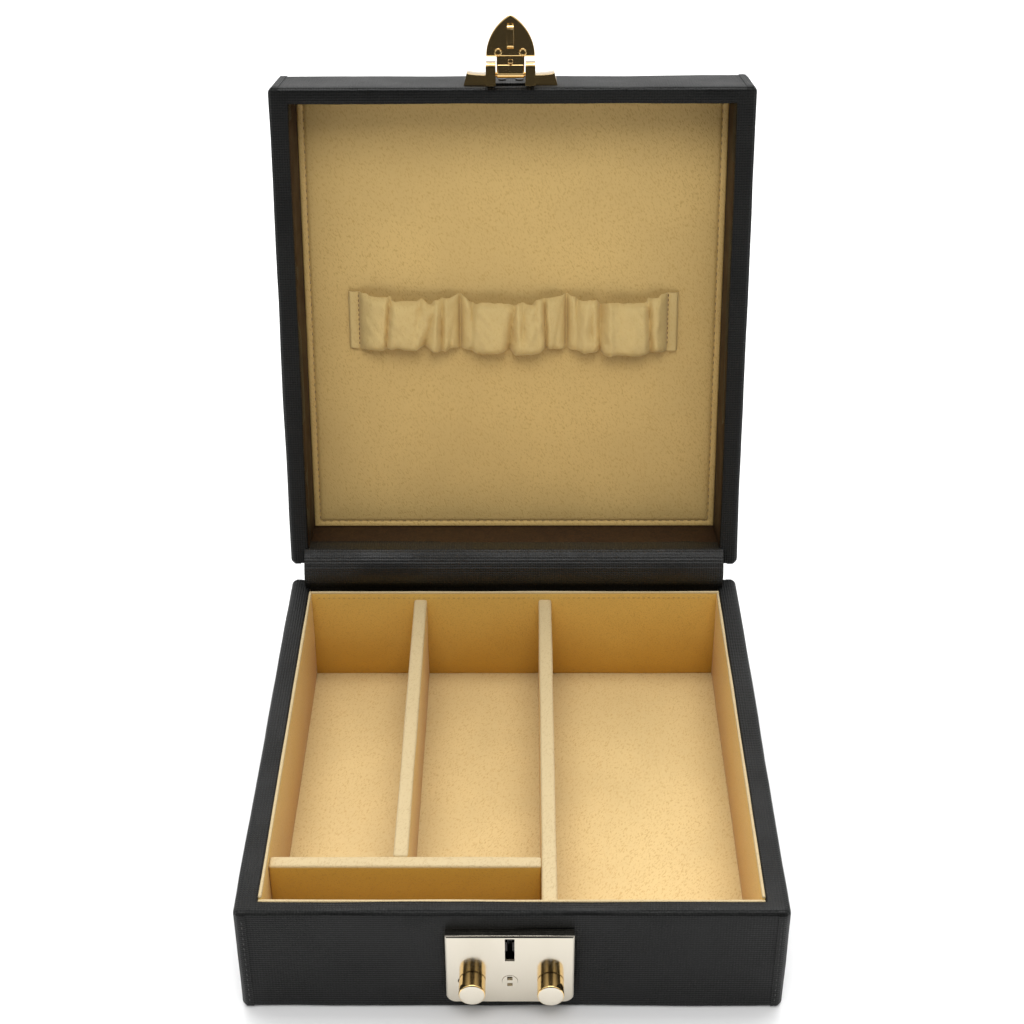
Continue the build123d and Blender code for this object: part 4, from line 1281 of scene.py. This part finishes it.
knuckle = [(radius * MM, far * MM) for radius, far in
           ((0.82, -4.9), (0.82, 4.9), (1.1, 5.08), (1.4, 4.8), (1.4, -4.8), (1.1, -5.08), (0.82, -4.9))]
middle_pin = Vector((hasp_middle, hasp_pin.y, hasp_pin.z))
finish_piece("hasp_knuckle", spun(knuckle, middle_pin, Vector((1, 0, 0))), gilt_metal, "hasp",
             (), hasp_open, 40)
eyelet = [(radius * MM, far * MM) for radius, far in
          ((0, -0.9), (0.99, -0.9), (0.99, -0.04), (1.42, -0.02), (1.36, 0.12), (1.18, 0.2), (1.0, 0.14),
           (0.9, 0.02), (0, 0.02))]
eyelet_across, eyelet_down = 4.5 * MM, 8.0 * MM
eyelets = [spun(eyelet, middle_pin + Vector((side * eyelet_across, half_thick, -eyelet_down)),
                Vector((0, 1, 0)))
           for side in (-1, 1)]
finish_piece("hasp_eyelets", joined(eyelets), gilt_metal, "hasp", ("hasp_rivets",),
             hasp_open, 50)
print("hasp made")

# %% [markdown]
# ## The knobs
# The knobs are turned parts, so they are spun from a profile, with the rounded edge and the domed face
# that a lathe leaves. A bevelled cylinder would have the edge but not the dome. Each has a stem in its
# slot and a cap, which sits a little to the side. The end faces are as pale as the lock's plate.

# %% Turn the knobs
plate_face = case_low[1]
cap_shift = {"left": Vector((0.5 * MM, 0, 0)), "right": Vector((0.5 * MM, 0, -0.4 * MM))}
stem = [(0, -1.2 * MM), (1.4 * MM, -1.2 * MM), (1.4 * MM, 0.4 * MM), (0, 0.4 * MM)]
outward = Vector((0, -1, 0))
for side in ("left", "right"):
    low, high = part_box("knob_" + side)
    radius = (high[0] - low[0]) / 2
    length = plate_face - low[1]
    stem_centre = Vector(((low[0] + high[0]) / 2, plate_face, (low[2] + high[2]) / 2))
    centre = stem_centre + cap_shift[side]
    dome_from = length * 0.955
    dome = [(radius * 0.95 * math.cos(angle), dome_from + length * 0.045 * math.sin(angle))
            for angle in (math.radians(step) for step in (15, 30, 45, 60, 75))]
    profile = [(0, 0.22 * MM), (radius * 0.95, 0.22 * MM),
               (radius * 0.99, 0.3 * MM), (radius * 0.99, length * 0.86), (radius * 0.985, length * 0.90),
               (radius * 0.97, length * 0.94), *dome, (0, length)]
    knob = finish_piece("turned_knob_" + side,
                        joined([spun(stem, stem_centre, outward), spun(profile, centre, outward)]),
                        gilt_metal, side + "_knob", ("knob_" + side,), None, 40)
    knob.data.materials.append(plate_metal)
    for face in knob.data.polygons:
        if face.center.y < plate_face - dome_from:
            face.material_index = 1
print("knobs turned")
